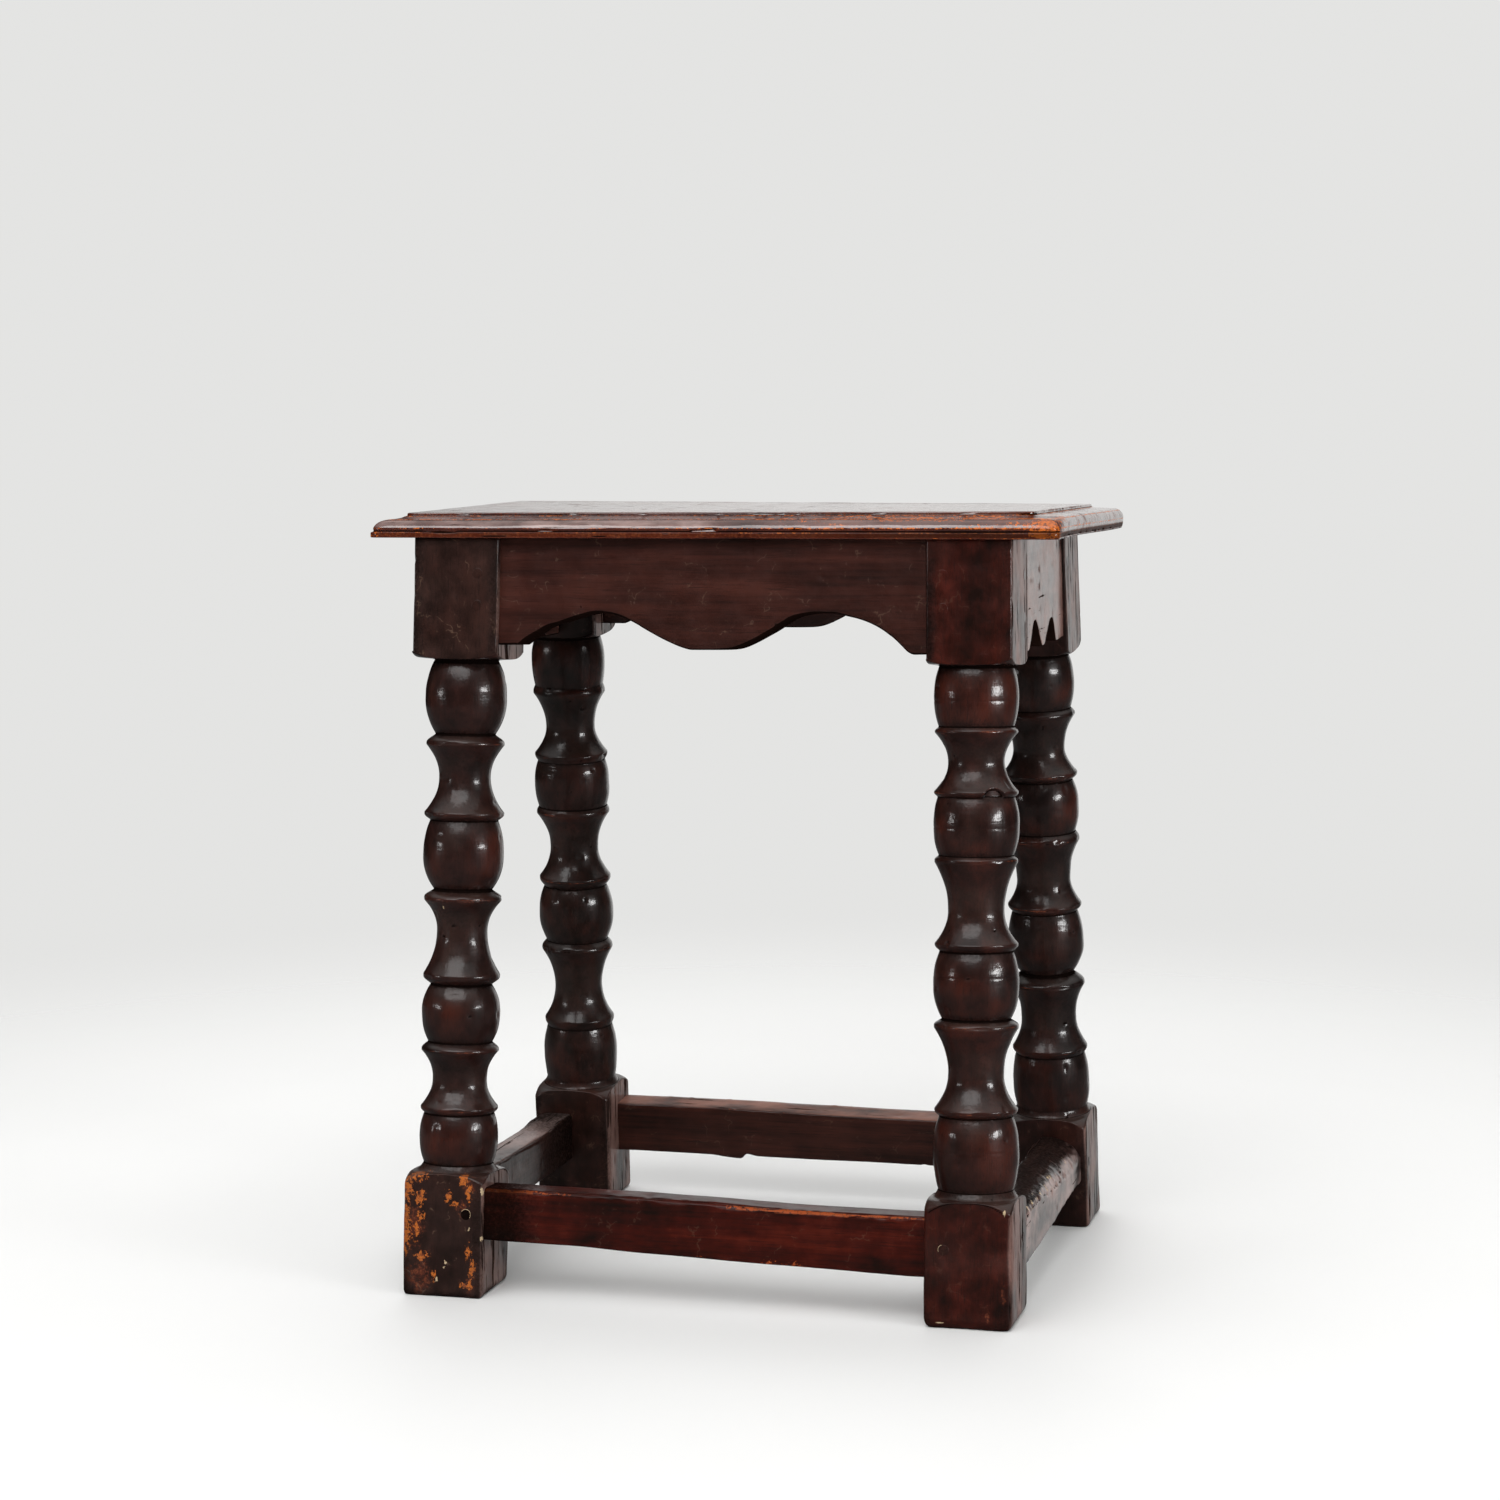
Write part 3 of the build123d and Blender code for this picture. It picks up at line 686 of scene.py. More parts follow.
def on_front(place, patches):
    """1 in the middle of each patch on a leg's front, less around it, and 0 elsewhere."""
    strongest = np.zeros(place.shape[:-1])
    for x, z, reach_x, reach_z in patches:
        away = ((place[..., 0] - x) / reach_x) ** 2 + ((place[..., 2] - z) / reach_z) ** 2
        strongest = np.maximum(strongest, 0.4**away)
    return strongest * rise(-place[..., 1], 18, 24)


def leg_masks(leg, place, blocky, turned_radius, hollow, across, curvature, normal, whole, seed):
    """A leg's masks.

    hollow is how deep the turning lies at each row, and across is 0 in the middle of a block's face and
    1 at its arrises.
    """
    height = place[..., 2]
    lathed = 1 - blocky
    patchy = noise(place, (12, 12, 40), seed + 8)
    worn = np.maximum.reduce([
        0.75 * rise(curvature, 0.12, 0.7) * (0.5 + 0.5 * patchy) * (1 - 0.5 * blocky),
        *((0.6 + 0.45 * patchy) * bell(height - ring, 0.4) for ring in leg["rings"]),
    ])
    # Dirt in hollows and scribed lines, painted shade in the grooves, darker at feet and arrises.
    grime_and_shade = np.maximum.reduce([
        rise(-curvature, 0.08, 0.4),
        # painted shadow deep in the grooves and necks
        lathed * rise(hollow, 0.5, 2.0),
        # painted shade growing from the bellies towards the grooves
        0.45 * lathed * rise(hollow, -1.0, 0.8),
        # darker towards the bottom of the foot
        0.7 * rise(-height, -9, -1) * (0.6 + 0.4 * patchy),
        # darker towards the blocks' arrises
        0.6 * blocky * rise(across, 0.45, 0.95) * (0.75 + 0.4 * patchy),
        *(bell(height - scribe, 0.45) * (0.37 + 0.35 * patchy) for scribe in leg.get("scribes", ())),
    ])
    fade_and_sheen = np.maximum.reduce([
        # painted sheen on faces turned upwards
        np.clip(0.8 * normal[..., 2] + 0.4 * noise(place, 20, seed + 9), 0, 1) * (1 - 0.8 * blocky),
        # the spools, duller and greyed with the painted sheen's colour
        0.45 * lathed * rise(-turned_radius, -20.5, -18),
        # painted sheen on the blocks' faces turned towards the right
        0.9 * blocky * rise(normal[..., 0], 0.5, 0.9),
    ])
    reddish = rise(noise(place, (16, 16, 13), seed + 10), -0.5, 0.5)
    return {
        "worn": np.maximum(worn * whole, 0.65 * on_front(place, leg.get("thinned", ()))),
        "rubbed": on_front(place, leg.get("rubs", ())),
        "chips_and_highlight": on_front(place, leg.get("chips", ())),
        "grime_and_shade": grime_and_shade,
        "fade_and_sheen": fade_and_sheen,
        "square": blocky,
        # redder bellies on the balls: painted light, with red wood showing through
        "belly_red_and_light": 0.65 * lathed * rise(turned_radius, 22.5, 25) * reddish,
    }


def leg_piece(name):
    """A leg: square at the top and the foot, and turned between them."""
    leg = LEGS[name]
    seed = 100 * leg["seed"]
    heights, radius = turned_profile(leg)
    rows = leg_rows(leg, heights, radius)
    turned_radius = np.interp(rows, heights, radius)[:, None]
    angle = leg_columns()[None, :]
    cos, sin = np.cos(angle), np.sin(angle)
    height = rows[:, None] + 0 * angle
    half_x, half_y, square_radius = square_section(leg, height, cos, sin, seed)
    gap = np.clip(0.5 + (square_radius - turned_radius) / BLEND / 2, 0, 1)
    r = square_radius + (turned_radius - square_radius) * gap - BLEND * gap * (1 - gap)
    blocky = rise(turned_radius - square_radius, -0.5, 1.5)
    place = xyz(r * cos, r * sin, height)
    r, whole = break_rings(leg, hand_work(leg, r, place, blocky, seed), height, angle)

    # In the blocks the rows turn from square to the leg to level, so both ends are cut level.
    matrix = leg_matrix(leg)
    lean = math.cos(CANT) * math.cos(SPLAY)
    in_x = blocky * leg["end"] * (LEG_HALF - half_x)
    in_y = blocky * leg["side"] * (LEG_HALF - half_y)
    grid = xyz(r * cos + in_x, r * sin + in_y, (height - UNDERSIDE) / lean)
    level = rise(-height, -(leg["foot_top"] - FOOT_DROP), 0)
    level += rise(height, leg["block_bottom"] + TOP_DROP, UNDERSIDE)
    tilt = np.array(matrix)[2, :2]
    grid[..., 2] -= level * (grid[..., 0] * tilt[0] + grid[..., 1] * tilt[1]) / lean
    grid = placed(grid, matrix)
    at_seat, at_floor = leg["drift"]
    grid[..., 0] += at_floor + (at_seat - at_floor) * height / UNDERSIDE

    filled = blurred(np.minimum(radius, LEG_HALF), 9, 4)
    hollow = np.interp(rows, heights, filled)[:, None] - turned_radius
    across = np.minimum(abs(r * cos) / half_x, abs(r * sin) / half_y)
    masks = leg_masks(leg, place, blocky, turned_radius, hollow, across, *bend(grid), whole, seed)
    skins[name] = grid.reshape(-1, 3)
    leg_woods[name] = old_wood(f"leg_wood_{name}", Z_GRAIN, leg["tones"], leg["blocks"], coat_ior=1.4,
                               figure=0.3, scratches=leg["scratches"])
    add_tube(f"{name}_leg", grid, masks, leg_woods[name], f"leg_{name}")


# -------- rails
# Lower edge of each apron: (place along the side's own X, height above the floor).
FRONT_SCALLOP = (
    (-144, 404.6), (-135, 404.4), (-131, 405.8), (-127, 409.3), (-123, 412.9), (-119, 416), (-115, 418.8),
    (-108, 422.5), (-100, 425.4), (-92, 427.2), (-84, 428.7), (-71.5, 428.8), (-59, 427.2), (-53, 425),
    (-40, 417.1), (-28, 410.8), (-18, 407), (-8, 406), (10, 405.8), (17, 407.3), (23, 409.4),
    (30, 412.3), (39.5, 416.9), (52, 423.3), (62, 426.8), (74, 428), (88, 425.4), (101, 421.6),
    (107.5, 419.7), (114, 416), (121, 412), (124.5, 409.5), (127, 407.6), (140, 407.6),
)
RIGHT_SCALLOP = (
    (-78, 402), (-68, 402), (-63, 405), (-56, 413), (-47, 417.4), (-36, 416), (-18, 407.5), (-6, 402.5),
    (2, 402.2), (12, 407), (24, 416), (36.5, 420), (48, 417), (58, 408), (66, 402.5), (78, 402),
)
RAIL_STATION = 1.5  # distance between a rail's sections
INTO_LEG = 1.5  # how far a rail's visible part runs into each leg
LOWEST_RAIL = 20  # a height below every rail
ARC_POINTS = (5, 5, 5, 22)  # on a rail's corners, the outer upper one last
APRON_POINTS = (24, 7, 16, 5)  # between the corners: outer face, underneath, inner face, top
STRETCHER_POINTS = (12, 8, 12, 6)


def side_matrix(side):
    """A side's own axes: X along it, Y outwards and Z up, zero at the underside of the seat."""
    turn, _, is_long = SIDES[side]
    reach = (FRAME_WIDTH if is_long else FRAME_LENGTH) / 2 - LEG_HALF
    lean = CANT if is_long else SPLAY
    turned = Matrix.Translation((0, 0, UNDERSIDE)) @ Matrix.Rotation(math.radians(turn), 4, "Z")
    return turned @ Matrix.Translation((0, reach, 0)) @ Matrix.Rotation(lean, 4, "X")


def half_gap(side, z):
    """Half the distance between a side's two legs, at Z in the side's own axes."""
    is_long = SIDES[side][2]
    run = FRAME_LENGTH if is_long else FRAME_WIDTH
    lean = SPLAY if is_long else CANT
    return (run - LEG_SQUARE) / 2 - LEG_HALF / math.cos(lean) - z * math.tan(lean)


def side_level(side, height):
    """A height above the floor, as Z in a side's own axes."""
    return (height - UNDERSIDE) / math.cos(CANT if SIDES[side][2] else SPLAY)


def section(inner, outer, low, high, radii, spread, counts):
    """Rounded rectangles, one for each station, as (station, point, 2).

    The points run inwards over the top, down the inner face, outwards underneath and up the outer face.
    inner, outer, low, high and the four radii (outer low, inner low, inner high, outer high) are arrays
    over the stations. The last corner, which feet wear down, is spread times as wide as it is deep.
    counts are the points on the outer face, underneath, on the inner face and on top.
    """
    corners = [(outer, low, 1, -1, 0), (inner, low, -1, -1, -90), (inner, high, -1, 1, -180),
               (outer, high, 1, 1, -270)]
    arcs = []
    for (y, z, way_y, way_z, start), radius, points in zip(corners, radii, ARC_POINTS):
        wide = radius * (spread if start == -270 else 1)
        turn = np.radians(start - np.linspace(0, 90, points))
        centre_y, centre_z = y - way_y * wide, z - way_z * radius
        arcs.append(np.stack([centre_y[:, None] + wide[:, None] * np.cos(turn),
                              centre_z[:, None] + radius[:, None] * np.sin(turn)], axis=-1))
    loops = []
    for k in range(4):
        before = arcs[k - 1][:, -1:]
        after = arcs[k][:, :1]
        share = np.linspace(0, 1, counts[k] + 2)[1:-1][None, :, None]
        loops += [before + (after - before) * share, arcs[k]]
    return np.concatenate(loops, axis=1)[:, ::-1]


def roughened(grid, middle, ragged, battered, seed):
    """A rail's points with its maker's lumps and torn arrises, and the slanting strokes that feet left.

    middle is where the outer half of the rail starts.
    """
    curvature, normal = bend(grid)
    out, up = normal[..., 1], normal[..., 2]
    lumps = 0.22 * noise(grid, (60, 20, 20), seed) + 0.12 * noise(grid, (18, 7, 7), seed + 1)
    dents = -0.8 * rise(noise(grid, (9, 6, 5), seed + 2), 0.66, 0.95)
    scored = -0.35 * rise(noise(grid, (40, 3, 1.6), seed + 3), 0.62, 0.9)
    upper_arris = (grid[..., 1] > middle) & (up > 0.15) & (out > 0.05)
    torn = np.where(upper_arris, rise(curvature, 0.01, 0.06), 0.4 * rise(curvature, 0.05, 0.3))
    slanted = grid + grid[..., 2:] * (0.8, 0, 0)
    strokes = noise(slanted, (4.5, 16, 16), seed + 10) + 0.5 * noise(slanted, (2.2, 9, 9), seed + 12)
    fibres = noise(grid, (4, 6, 6), seed + 4) + 0.7 * noise(grid, (8, 2.2, 2.2), seed + 6)
    fibres += battered * 0.5 * strokes - 0.5
    return grid + normal * (lumps + dents + scored + ragged * torn * fibres)[..., None], strokes


def rail(side, kind, material, low, high, radii, counts, seed, thickness, setback, ragged=0.3, spread=1,
         battered=0, scuffs=0, top_sheen=0, shade_stretch=None):
    """A rail between a side's two legs. low, high and the radii are functions of the place along it.

    ragged is how far its arrises are torn, and battered is 1 where feet have battered the outer upper
    one. scuffs is how strongly its edges are rubbed bare. The next argument is how strongly a pale
    painted sheen covers its top, and the last is the stretch along it over which painted shade darkens
    it towards its +x end.
    """
    longest = half_gap(side, side_level(side, LOWEST_RAIL)) + 2
    stations = int(2 * longest / (RAIL_STATION / (1 + battered)))
    share = np.linspace(-1, 1, stations)
    at = share * longest
    low_z, high_z = side_level(side, low(at)), side_level(side, high(at))
    outer = np.full(stations, LEG_HALF - setback)
    inner = outer - thickness
    loop = section(inner, outer, low_z, high_z, [radius(at) for radius in radii], spread, counts)
    grid = np.concatenate([np.broadcast_to(at[:, None, None], loop.shape[:2] + (1,)), loop], axis=-1)
    run = half_gap(side, grid[..., 2]) + INTO_LEG
    grid[..., 0] = share[:, None] * run
    grid, strokes = roughened(grid, (inner + outer)[:, None] / 2, ragged, battered, seed)

    curvature, normal = bend(grid)
    out, up = normal[..., 1], normal[..., 2]
    above = grid[..., 2] - low_z[:, None]
    worn = 0.7 * rise(curvature, 0.08, 0.45) * (0.5 + 0.5 * noise(grid, (30, 9, 9), seed + 5))
    hollow = rise(-curvature, 0.10, 0.45)
    trodden = battered * rise(up + 0.12 * strokes, 0.62, 0.85)
    kicked = battered * rise(up, 0.3, 0.45) * rise(-up, -0.9, -0.75) * (out > 0)
    ends = rise(abs(grid[..., 0]) / run, 0.985, 1.0)
    low_rub = rise(-above, -7, -1) * rise(noise(grid, (20, 14, 14), seed + 8), 0, 0.8)
    on_arris = rise(np.minimum(out, up), 0.2, 0.45) * (above > 20)
    top_rub = on_arris * rise(noise(grid, (34, 34, 34), seed + 9), -0.7, 0.2)
    # The aprons' downward faces, made nearly black and without sheen.
    facing_down = 0.9 * (kind == "apron") * rise(-up, 0.15, 0.4)
    # Painted shade, darker towards the +x end.
    end_shade = 0.72 * rise(grid[..., 0], *shade_stretch) if shade_stretch else 0 * worn
    # Pale painted sheen on the right apron's and right stretcher's outward faces.
    right_face_sheen = 0.95 * (side == "right") * rise(out + 0.15 * strokes * battered, 0.62, 0.85)
    masks = {
        "worn": worn * (1 - facing_down) * (1 - 0.8 * trodden),
        "grime_and_shade": np.maximum.reduce([hollow, 0.8 * ends, facing_down, 0.62 * trodden, end_shade]),
        # Pale painted sheen on faces turned right, and on tops.
        "fade_and_sheen": np.maximum(right_face_sheen, top_sheen * rise(up, 0.75, 0.95)),
        "rubbed": scuffs * np.maximum(0.7 * (side == "front") * low_rub, top_rub),
        "chips_and_highlight": 0.75 * kicked * rise(strokes, 0.4, 0.9),
    }
    grid = placed(grid, side_matrix(side))
    add_tube(f"{side}_{kind}", grid, masks, material, f"{kind}_{side}")


def constant(value):
    """The same value all along a rail."""
    return lambda at: np.full(len(at), float(value))


def wavering(value, swing, length, seed):
    """A value that wavers along a rail by up to swing, in lumps of the given length."""
    return lambda at: value + swing * noise(xyz(at, 0, 0), length, seed)


def apron_piece(side, seed):
    """An apron. The hidden sides repeat the scallop of the sides that show."""
    is_long = SIDES[side][2]
    scallop = FRONT_SCALLOP if is_long else RIGHT_SCALLOP
    if side in ("back", "left"):
        scallop = tuple((-x, z) for x, z in scallop[::-1])
    worn_arris = wavering(1.3, 0.6, 25, seed + 9)
    radii = [worn_arris, constant(1), constant(0.6), constant(0.6)]
    material = wood["apron_long" if is_long else "apron_short"]
    rail(side, "apron", material, lambda at: through(scallop, at), constant(UNDERSIDE), radii,
         APRON_POINTS, seed, APRON_THICKNESS, APRON_SETBACK)


# Each stretcher: its lower and upper edges as (place along the side's own X, height) knots, how deep feet
# have worn its outer upper arris, and rail's own settings.
# The back and left stretchers have a pale painted sheen on their tops.
# The front and left stretchers' last setting is the stretch darkened by painted shade.
STRETCHERS = {
    "front": {
        "low": ((-160, 28), (160, 35)), "high": ((-160, 64), (160, 67.3)),
        "wear": ((-160, 2.2), (160, 2.2)),
        "rail": {"seed": 3000, "thickness": 25, "setback": 4.5, "spread": 1.4, "ragged": 0.35,
                 "scuffs": 0.95, "shade_stretch": (85, 130)},
    },
    "back": {
        "low": ((-160, 32.2), (-75, 32.4), (-56, 30.9), (-51, 30.8), (-47, 34.2), (-38, 32.8), (160, 32.4)),
        "high": ((-160, 66.5), (160, 65)), "wear": ((-160, 2), (160, 2)),
        "rail": {"seed": 3100, "thickness": 25, "setback": 4.5, "ragged": 0.35, "scuffs": 0.8,
                 "top_sheen": 0.9},
    },
    "left": {
        "low": ((-90, 30), (90, 30)), "high": ((-90, 63), (0, 61), (50, 60.5), (90, 62.5)),
        "wear": ((-90, 5), (0, 8), (90, 7)),
        "rail": {"seed": 3200, "thickness": 27, "setback": 1.5, "spread": 1.7, "ragged": 0.4,
                 "top_sheen": 0.7, "shade_stretch": (-40, 105)},
    },
    "right": {
        "low": ((-90, 32), (90, 27)), "high": ((-90, 62.5), (90, 62.5)),
        "wear": ((-90, 15), (-30, 13), (90, 9.5)),
        "rail": {"seed": 3300, "thickness": 27, "setback": 1.5, "spread": 1.6, "ragged": 0.7,
                 "battered": 1},
    },
}


def stretcher_piece(side):
    """A stretcher, its edges wavering a little."""
    one = STRETCHERS[side]
    seed = one["rail"]["seed"]

    def edge(knots, swing, length, salt):
        waver = wavering(0, swing, length, seed + salt)
        return lambda at: through(knots, at) + waver(at)

    radii = [wavering(1.6, 0.7, 20, seed + 7), constant(1.2), wavering(1.5, 0.6, 20, seed + 8),
             edge(one["wear"], 0.22 * one["wear"][0][1], 18, 9)]
    rail(side, "stretcher", wood[f"stretcher_{side}"], edge(one["low"], 0.5, 45, 11),
         edge(one["high"], 0.5, 45, 12), radii, STRETCHER_POINTS, **one["rail"])


# -------- seat
SEAT_LENGTH = seat_high[0] - seat_low[0]
SEAT_WIDTH = seat_high[1] - seat_low[1]
SEAT_THICKNESS = seat_high[2] - seat_low[2]
SEAT_COLUMNS = (170, 100)  # faces along X and along Y
SEAT_INSET = 0.3  # keeps the lumps of the board's edge within its size
SEAT_SEED = 900
CORNER_RADIUS = 3.2
FIELD_CORNER_RADIUS = 1.5  # inside the moulding
# The moulding, from the underside up and inwards: (inset from the edge, height above the underside).
MOULDING = (
    (6, 0), (1.1, 0), (0.35, 0.15), (0.05, 0.5), (0, 1.1), (0, 2), (0, 2.9), (0.03, 3.4), (0.25, 3.75),
    (0.8, 3.95), (1.35, 4.2), (1.5, 4.7), (1.45, 5.2), (1.3, 5.8), (1.4, 6.4), (1.65, 7.2), (2.15, 8.1),
    (2.9, 9.1), (3.9, 10.1), (5.2, 10.9), (6.7, 11.45), (8.2, 11.75), (9.7, 11.9), (11.5, 12.1),
    (13.5, 12.5), (15.5, 13), (17.2, 13.6), (18.1, 13.9), (18.5, 14.1), (18.6, 14.5), (18.65, 15.3),
    (18.9, 15.8), (19.5, 16), (21, 16), (24, 16),
)
# The arrises that hands have rubbed bare: (height, how strongly).
EDGE_LINES = ((0.6, 0.75), (3.6, 0.7), (6.3, 1), (11.8, 1), (13.9, 1))
# The right end is worn to one round nose up to this height: its foremost point, and its depth above it.
NOSE_TOP = 13.5
NOSE_MIDDLE = 7
NOSE_DEPTH = 7
# How far each corner of the board has moved down: (front left, front right, back right, back left).
TOP_SAG = (1.2, 0, 3.2, 0)
UNDER_SAG = (0, 0.6, 1, 0)
FAR_DROOP = 2.2  # how much lower the underside's overhang is at the back right corner


def crowded(count):
    """Shares from -1 to 1, closer together towards the ends."""
    even = np.linspace(-1, 1, count + 1)
    return 0.86 * even + 0.14 * even**9


def corner_share(x, y, corners):
    """A value at x and y from its values at the four corners."""
    u = (x / (SEAT_LENGTH / 2) + 1) / 2
    v = (y / (SEAT_WIDTH / 2) + 1) / 2
    front_left, front_right, back_right, back_left = corners
    return (1 - v) * ((1 - u) * front_left + u * front_right) + v * ((1 - u) * back_left + u * back_right)


def moulded_ring(inset, height, u, v):
    """The board's outline at one point of its moulding, with the worn nose at its right end."""
    half_x, half_y = (side / 2 - SEAT_INSET - inset for side in (SEAT_LENGTH, SEAT_WIDTH))
    swell = 0
    if 0 < height < NOSE_TOP:
        above = max(0, height - NOSE_MIDDLE) / (NOSE_TOP - NOSE_MIDDLE)
        below = max(0, NOSE_MIDDLE - height) / NOSE_MIDDLE
        nose = NOSE_DEPTH * (1 - math.sqrt(1 - above**2)) + 1.5 * (1 - math.sqrt(1 - below**2))
        swell = inset - nose
    wider, deeper = swell * rise(v, -0.99, -0.9), swell * rise(u, 0.86, 0.98)
    x = u * half_x + (u + 1) / 2 * wider
    y = v * half_y + (v + 1) / 2 * deeper
    radius = CORNER_RADIUS if inset < 17 else FIELD_CORNER_RADIUS
    over_x = abs(x) - (half_x + (u > 0) * wider - radius)
    over_y = abs(y) - (half_y + (v > 0) * deeper - radius)
    corner = (over_x > 0) & (over_y > 0)
    reach = np.maximum(np.hypot(over_x, over_y), 1e-6)
    pull = 1 - np.where(corner, np.minimum(1, radius / reach), 1)
    x = np.sign(x) * (abs(x) - over_x * pull)
    y = np.sign(y) * (abs(y) - over_y * pull)
    return xyz(x, y, height)


def worn_edge(grid, at_right):
    """The moulding's points with lumps, nicks and drying cracks, how much is edge, and the cracks."""
    curvature, normal = bend(grid)
    edge = rise(np.array([height for _, height in MOULDING]), 0.1, 1.0)[:, None]
    lumps = 0.18 * noise(grid, 26, SEAT_SEED) + 0.12 * noise(grid, (14, 14, 3), SEAT_SEED + 1) - 0.1
    nicks = -0.9 * rise(noise(grid, (5, 5, 3), SEAT_SEED + 2), 0.55, 0.9) * rise(curvature, 0.03, 0.3)
    low_edge = at_right * rise(-grid[..., 2], -3, -1)
    nicks = nicks - 0.9 * low_edge * rise(noise(grid, (9, 4, 4), SEAT_SEED + 10), 0.2, 0.7)
    cracks = rise(noise(grid, (34, 34, 1.1), SEAT_SEED + 3), 0.6, 0.85)
    return grid + normal * (edge * (lumps + nicks - 0.5 * cracks))[..., None], edge, cracks


def lattice(field, inset, height):
    """Points at one height over the board, an inset from its edge."""
    x = field[0] * (SEAT_LENGTH / 2 - inset)
    y = field[1] * (SEAT_WIDTH / 2 - inset)
    return xyz(x, y, height)


def moulding_masks(grid, edge, cracks):
    """The masks on the moulding."""
    curvature, _ = bend(grid)
    x, y, up = np.moveaxis(grid, -1, 0)
    redder = rise(x, -60, 180)
    on_bead = rise(-up, -5, -3.5)
    on_ovolo = rise(up, 6.2, 7.5) * rise(-up, -11.8, -11)
    on_border = rise(up, 11.9, 12.4) * rise(-up, -13.8, -13.2)
    patchy = rise(noise(grid, (38, 38, 12), SEAT_SEED + 8), -0.5, 0.8)
    streaky = noise(grid, (45, 45, 3), SEAT_SEED + 9) + 0.6 * noise(grid, (12, 12, 1.5), SEAT_SEED + 12)
    worn = 0.8 * rise(curvature, 0.08, 0.5) * patchy + edge * (0.05 + 0.25 * patchy + 0.25 * redder)
    lines = sum(strong * bell(up - level, 0.3) for level, strong in EDGE_LINES)
    stripes = edge * lines * (0.5 + 0.4 * redder + 0.3 * noise(grid, (30, 30, 6), SEAT_SEED + 11))
    from_front = 1.6 * (y + SEAT_WIDTH / 2)
    # The worn right corner, bare and also carrying a painted highlight.
    right_corner = rise(-np.hypot(x - SEAT_LENGTH / 2, from_front), -26, -6)
    left_corner = rise(-np.hypot(x + SEAT_LENGTH / 2, from_front), -9, -3) * on_bead
    in_front = rise(-y, SEAT_WIDTH / 2 - 60, SEAT_WIDTH / 2 - 25)
    handled = 0.62 * redder * in_front * (on_ovolo + on_border) * rise(-streaky, -0.2, 0.7)
    # The ovolo's whitish band: scuffs, and a painted highlight.
    scuffs_and_highlight = (on_ovolo * (1 - 0.9 * redder) + 0.3 * (1 - redder) * on_border) * (0.65 + 0.6 * streaky)
    bead_grime = edge * on_bead * (0.35 + 0.25 * redder)
    return {
        "worn": np.maximum(worn, 0.8 * edge * on_bead),
        "grime_and_shade": np.maximum.reduce([rise(-curvature, 0.06, 0.35), 0.9 * edge * cracks, bead_grime]),
        "fade_and_sheen": scuffs_and_highlight,
        "rubbed": np.maximum.reduce([edge * right_corner, 0.7 * edge * left_corner, stripes, handled]),
        "dull": 0.85 * edge * on_bead,
    }


def sagged(points):
    """The board's points, from heights above its underside to where its sagging corners have them."""
    x, y, up = points.T
    sag_top = corner_share(x, y, TOP_SAG)
    sag_under = corner_share(x, y, UNDER_SAG) + FAR_DROOP * rise(x, 188, 214) * rise(y, -90, 120)
    sag = sag_under + up / SEAT_THICKNESS * (sag_top - sag_under)
    return xyz(x, y, np.minimum(up + UNDERSIDE - sag, seat_high[2]))


def seat_piece():
    """The board: rings of points round its moulding, and a lattice above and one below."""
    nx, ny = SEAT_COLUMNS
    us, vs = crowded(nx), crowded(ny)
    ring = [(i, 0) for i in range(nx)] + [(nx, j) for j in range(ny)]
    ring += [(i, ny) for i in range(nx, 0, -1)] + [(0, j) for j in range(ny, 0, -1)]
    column, row = np.array(ring).T
    u, v = us[column], vs[row]
    grid = np.array([moulded_ring(inset, height, u, v) for inset, height in MOULDING])
    grid, edge, cracks = worn_edge(grid, (column == nx) * rise(v, -0.99, -0.9))
    field = np.meshgrid(us, vs, indexing="ij")
    top = lattice(field, MOULDING[-1][0] + 3, SEAT_THICKNESS)
    under = lattice(field, MOULDING[0][0] + 3, 0)
    hollow = 0.25 * noise(top, (70, 40, 9), SEAT_SEED + 4) + 0.10 * noise(top, (22, 9, 9), SEAT_SEED + 5)
    dents = -0.5 * rise(noise(top, (8, 6, 9), SEAT_SEED + 6), 0.7, 0.95)
    top[..., 2] += hollow - 0.35 + dents
    under[..., 2] += 0.2 * noise(under, (60, 30, 9), SEAT_SEED + 7)

    index = np.arange(grid[..., 0].size).reshape(grid.shape[:2])
    top_index = index.size + np.arange((nx + 1) * (ny + 1)).reshape(nx + 1, ny + 1)
    under_index = top_index + top_index.size
    faces = tube_faces(*grid.shape[:2], capped=False)
    faces += join_rings(index[-1], top_index[column, row])
    faces += join_rings(under_index[column, row], index[0])
    faces += lattice_faces(top_index)
    faces += lattice_faces(under_index[:, ::-1])

    on_top = {"worn": 0.3, "fade_and_sheen": 0.25}
    underneath = {"grime_and_shade": 0.3}
    masks = {}
    for mask, values in moulding_masks(grid, edge, cracks).items():
        flats = [np.full(top_index.size, flat.get(mask, 0.0)) for flat in (on_top, underneath)]
        masks[mask] = np.concatenate([values.ravel(), *flats])
    points = sagged(np.concatenate([part.reshape(-1, 3) for part in (grid, top, under)]))
    add_piece("seat", points, faces, masks, wood["seat"], ["seat_board"])


def join_rings(lower, upper):
    """Faces between two closed rings with as many points."""
    return np.stack([lower, np.roll(lower, -1), np.roll(upper, -1), upper], axis=-1).tolist()


def lattice_faces(index):
    """Faces between the points of a lattice, seen from the side where its rows run to the right."""
    corners = [index[:-1, :-1], index[1:, :-1], index[1:, 1:], index[:-1, 1:]]
    return np.stack(corners, axis=-1).reshape(-1, 4).tolist()


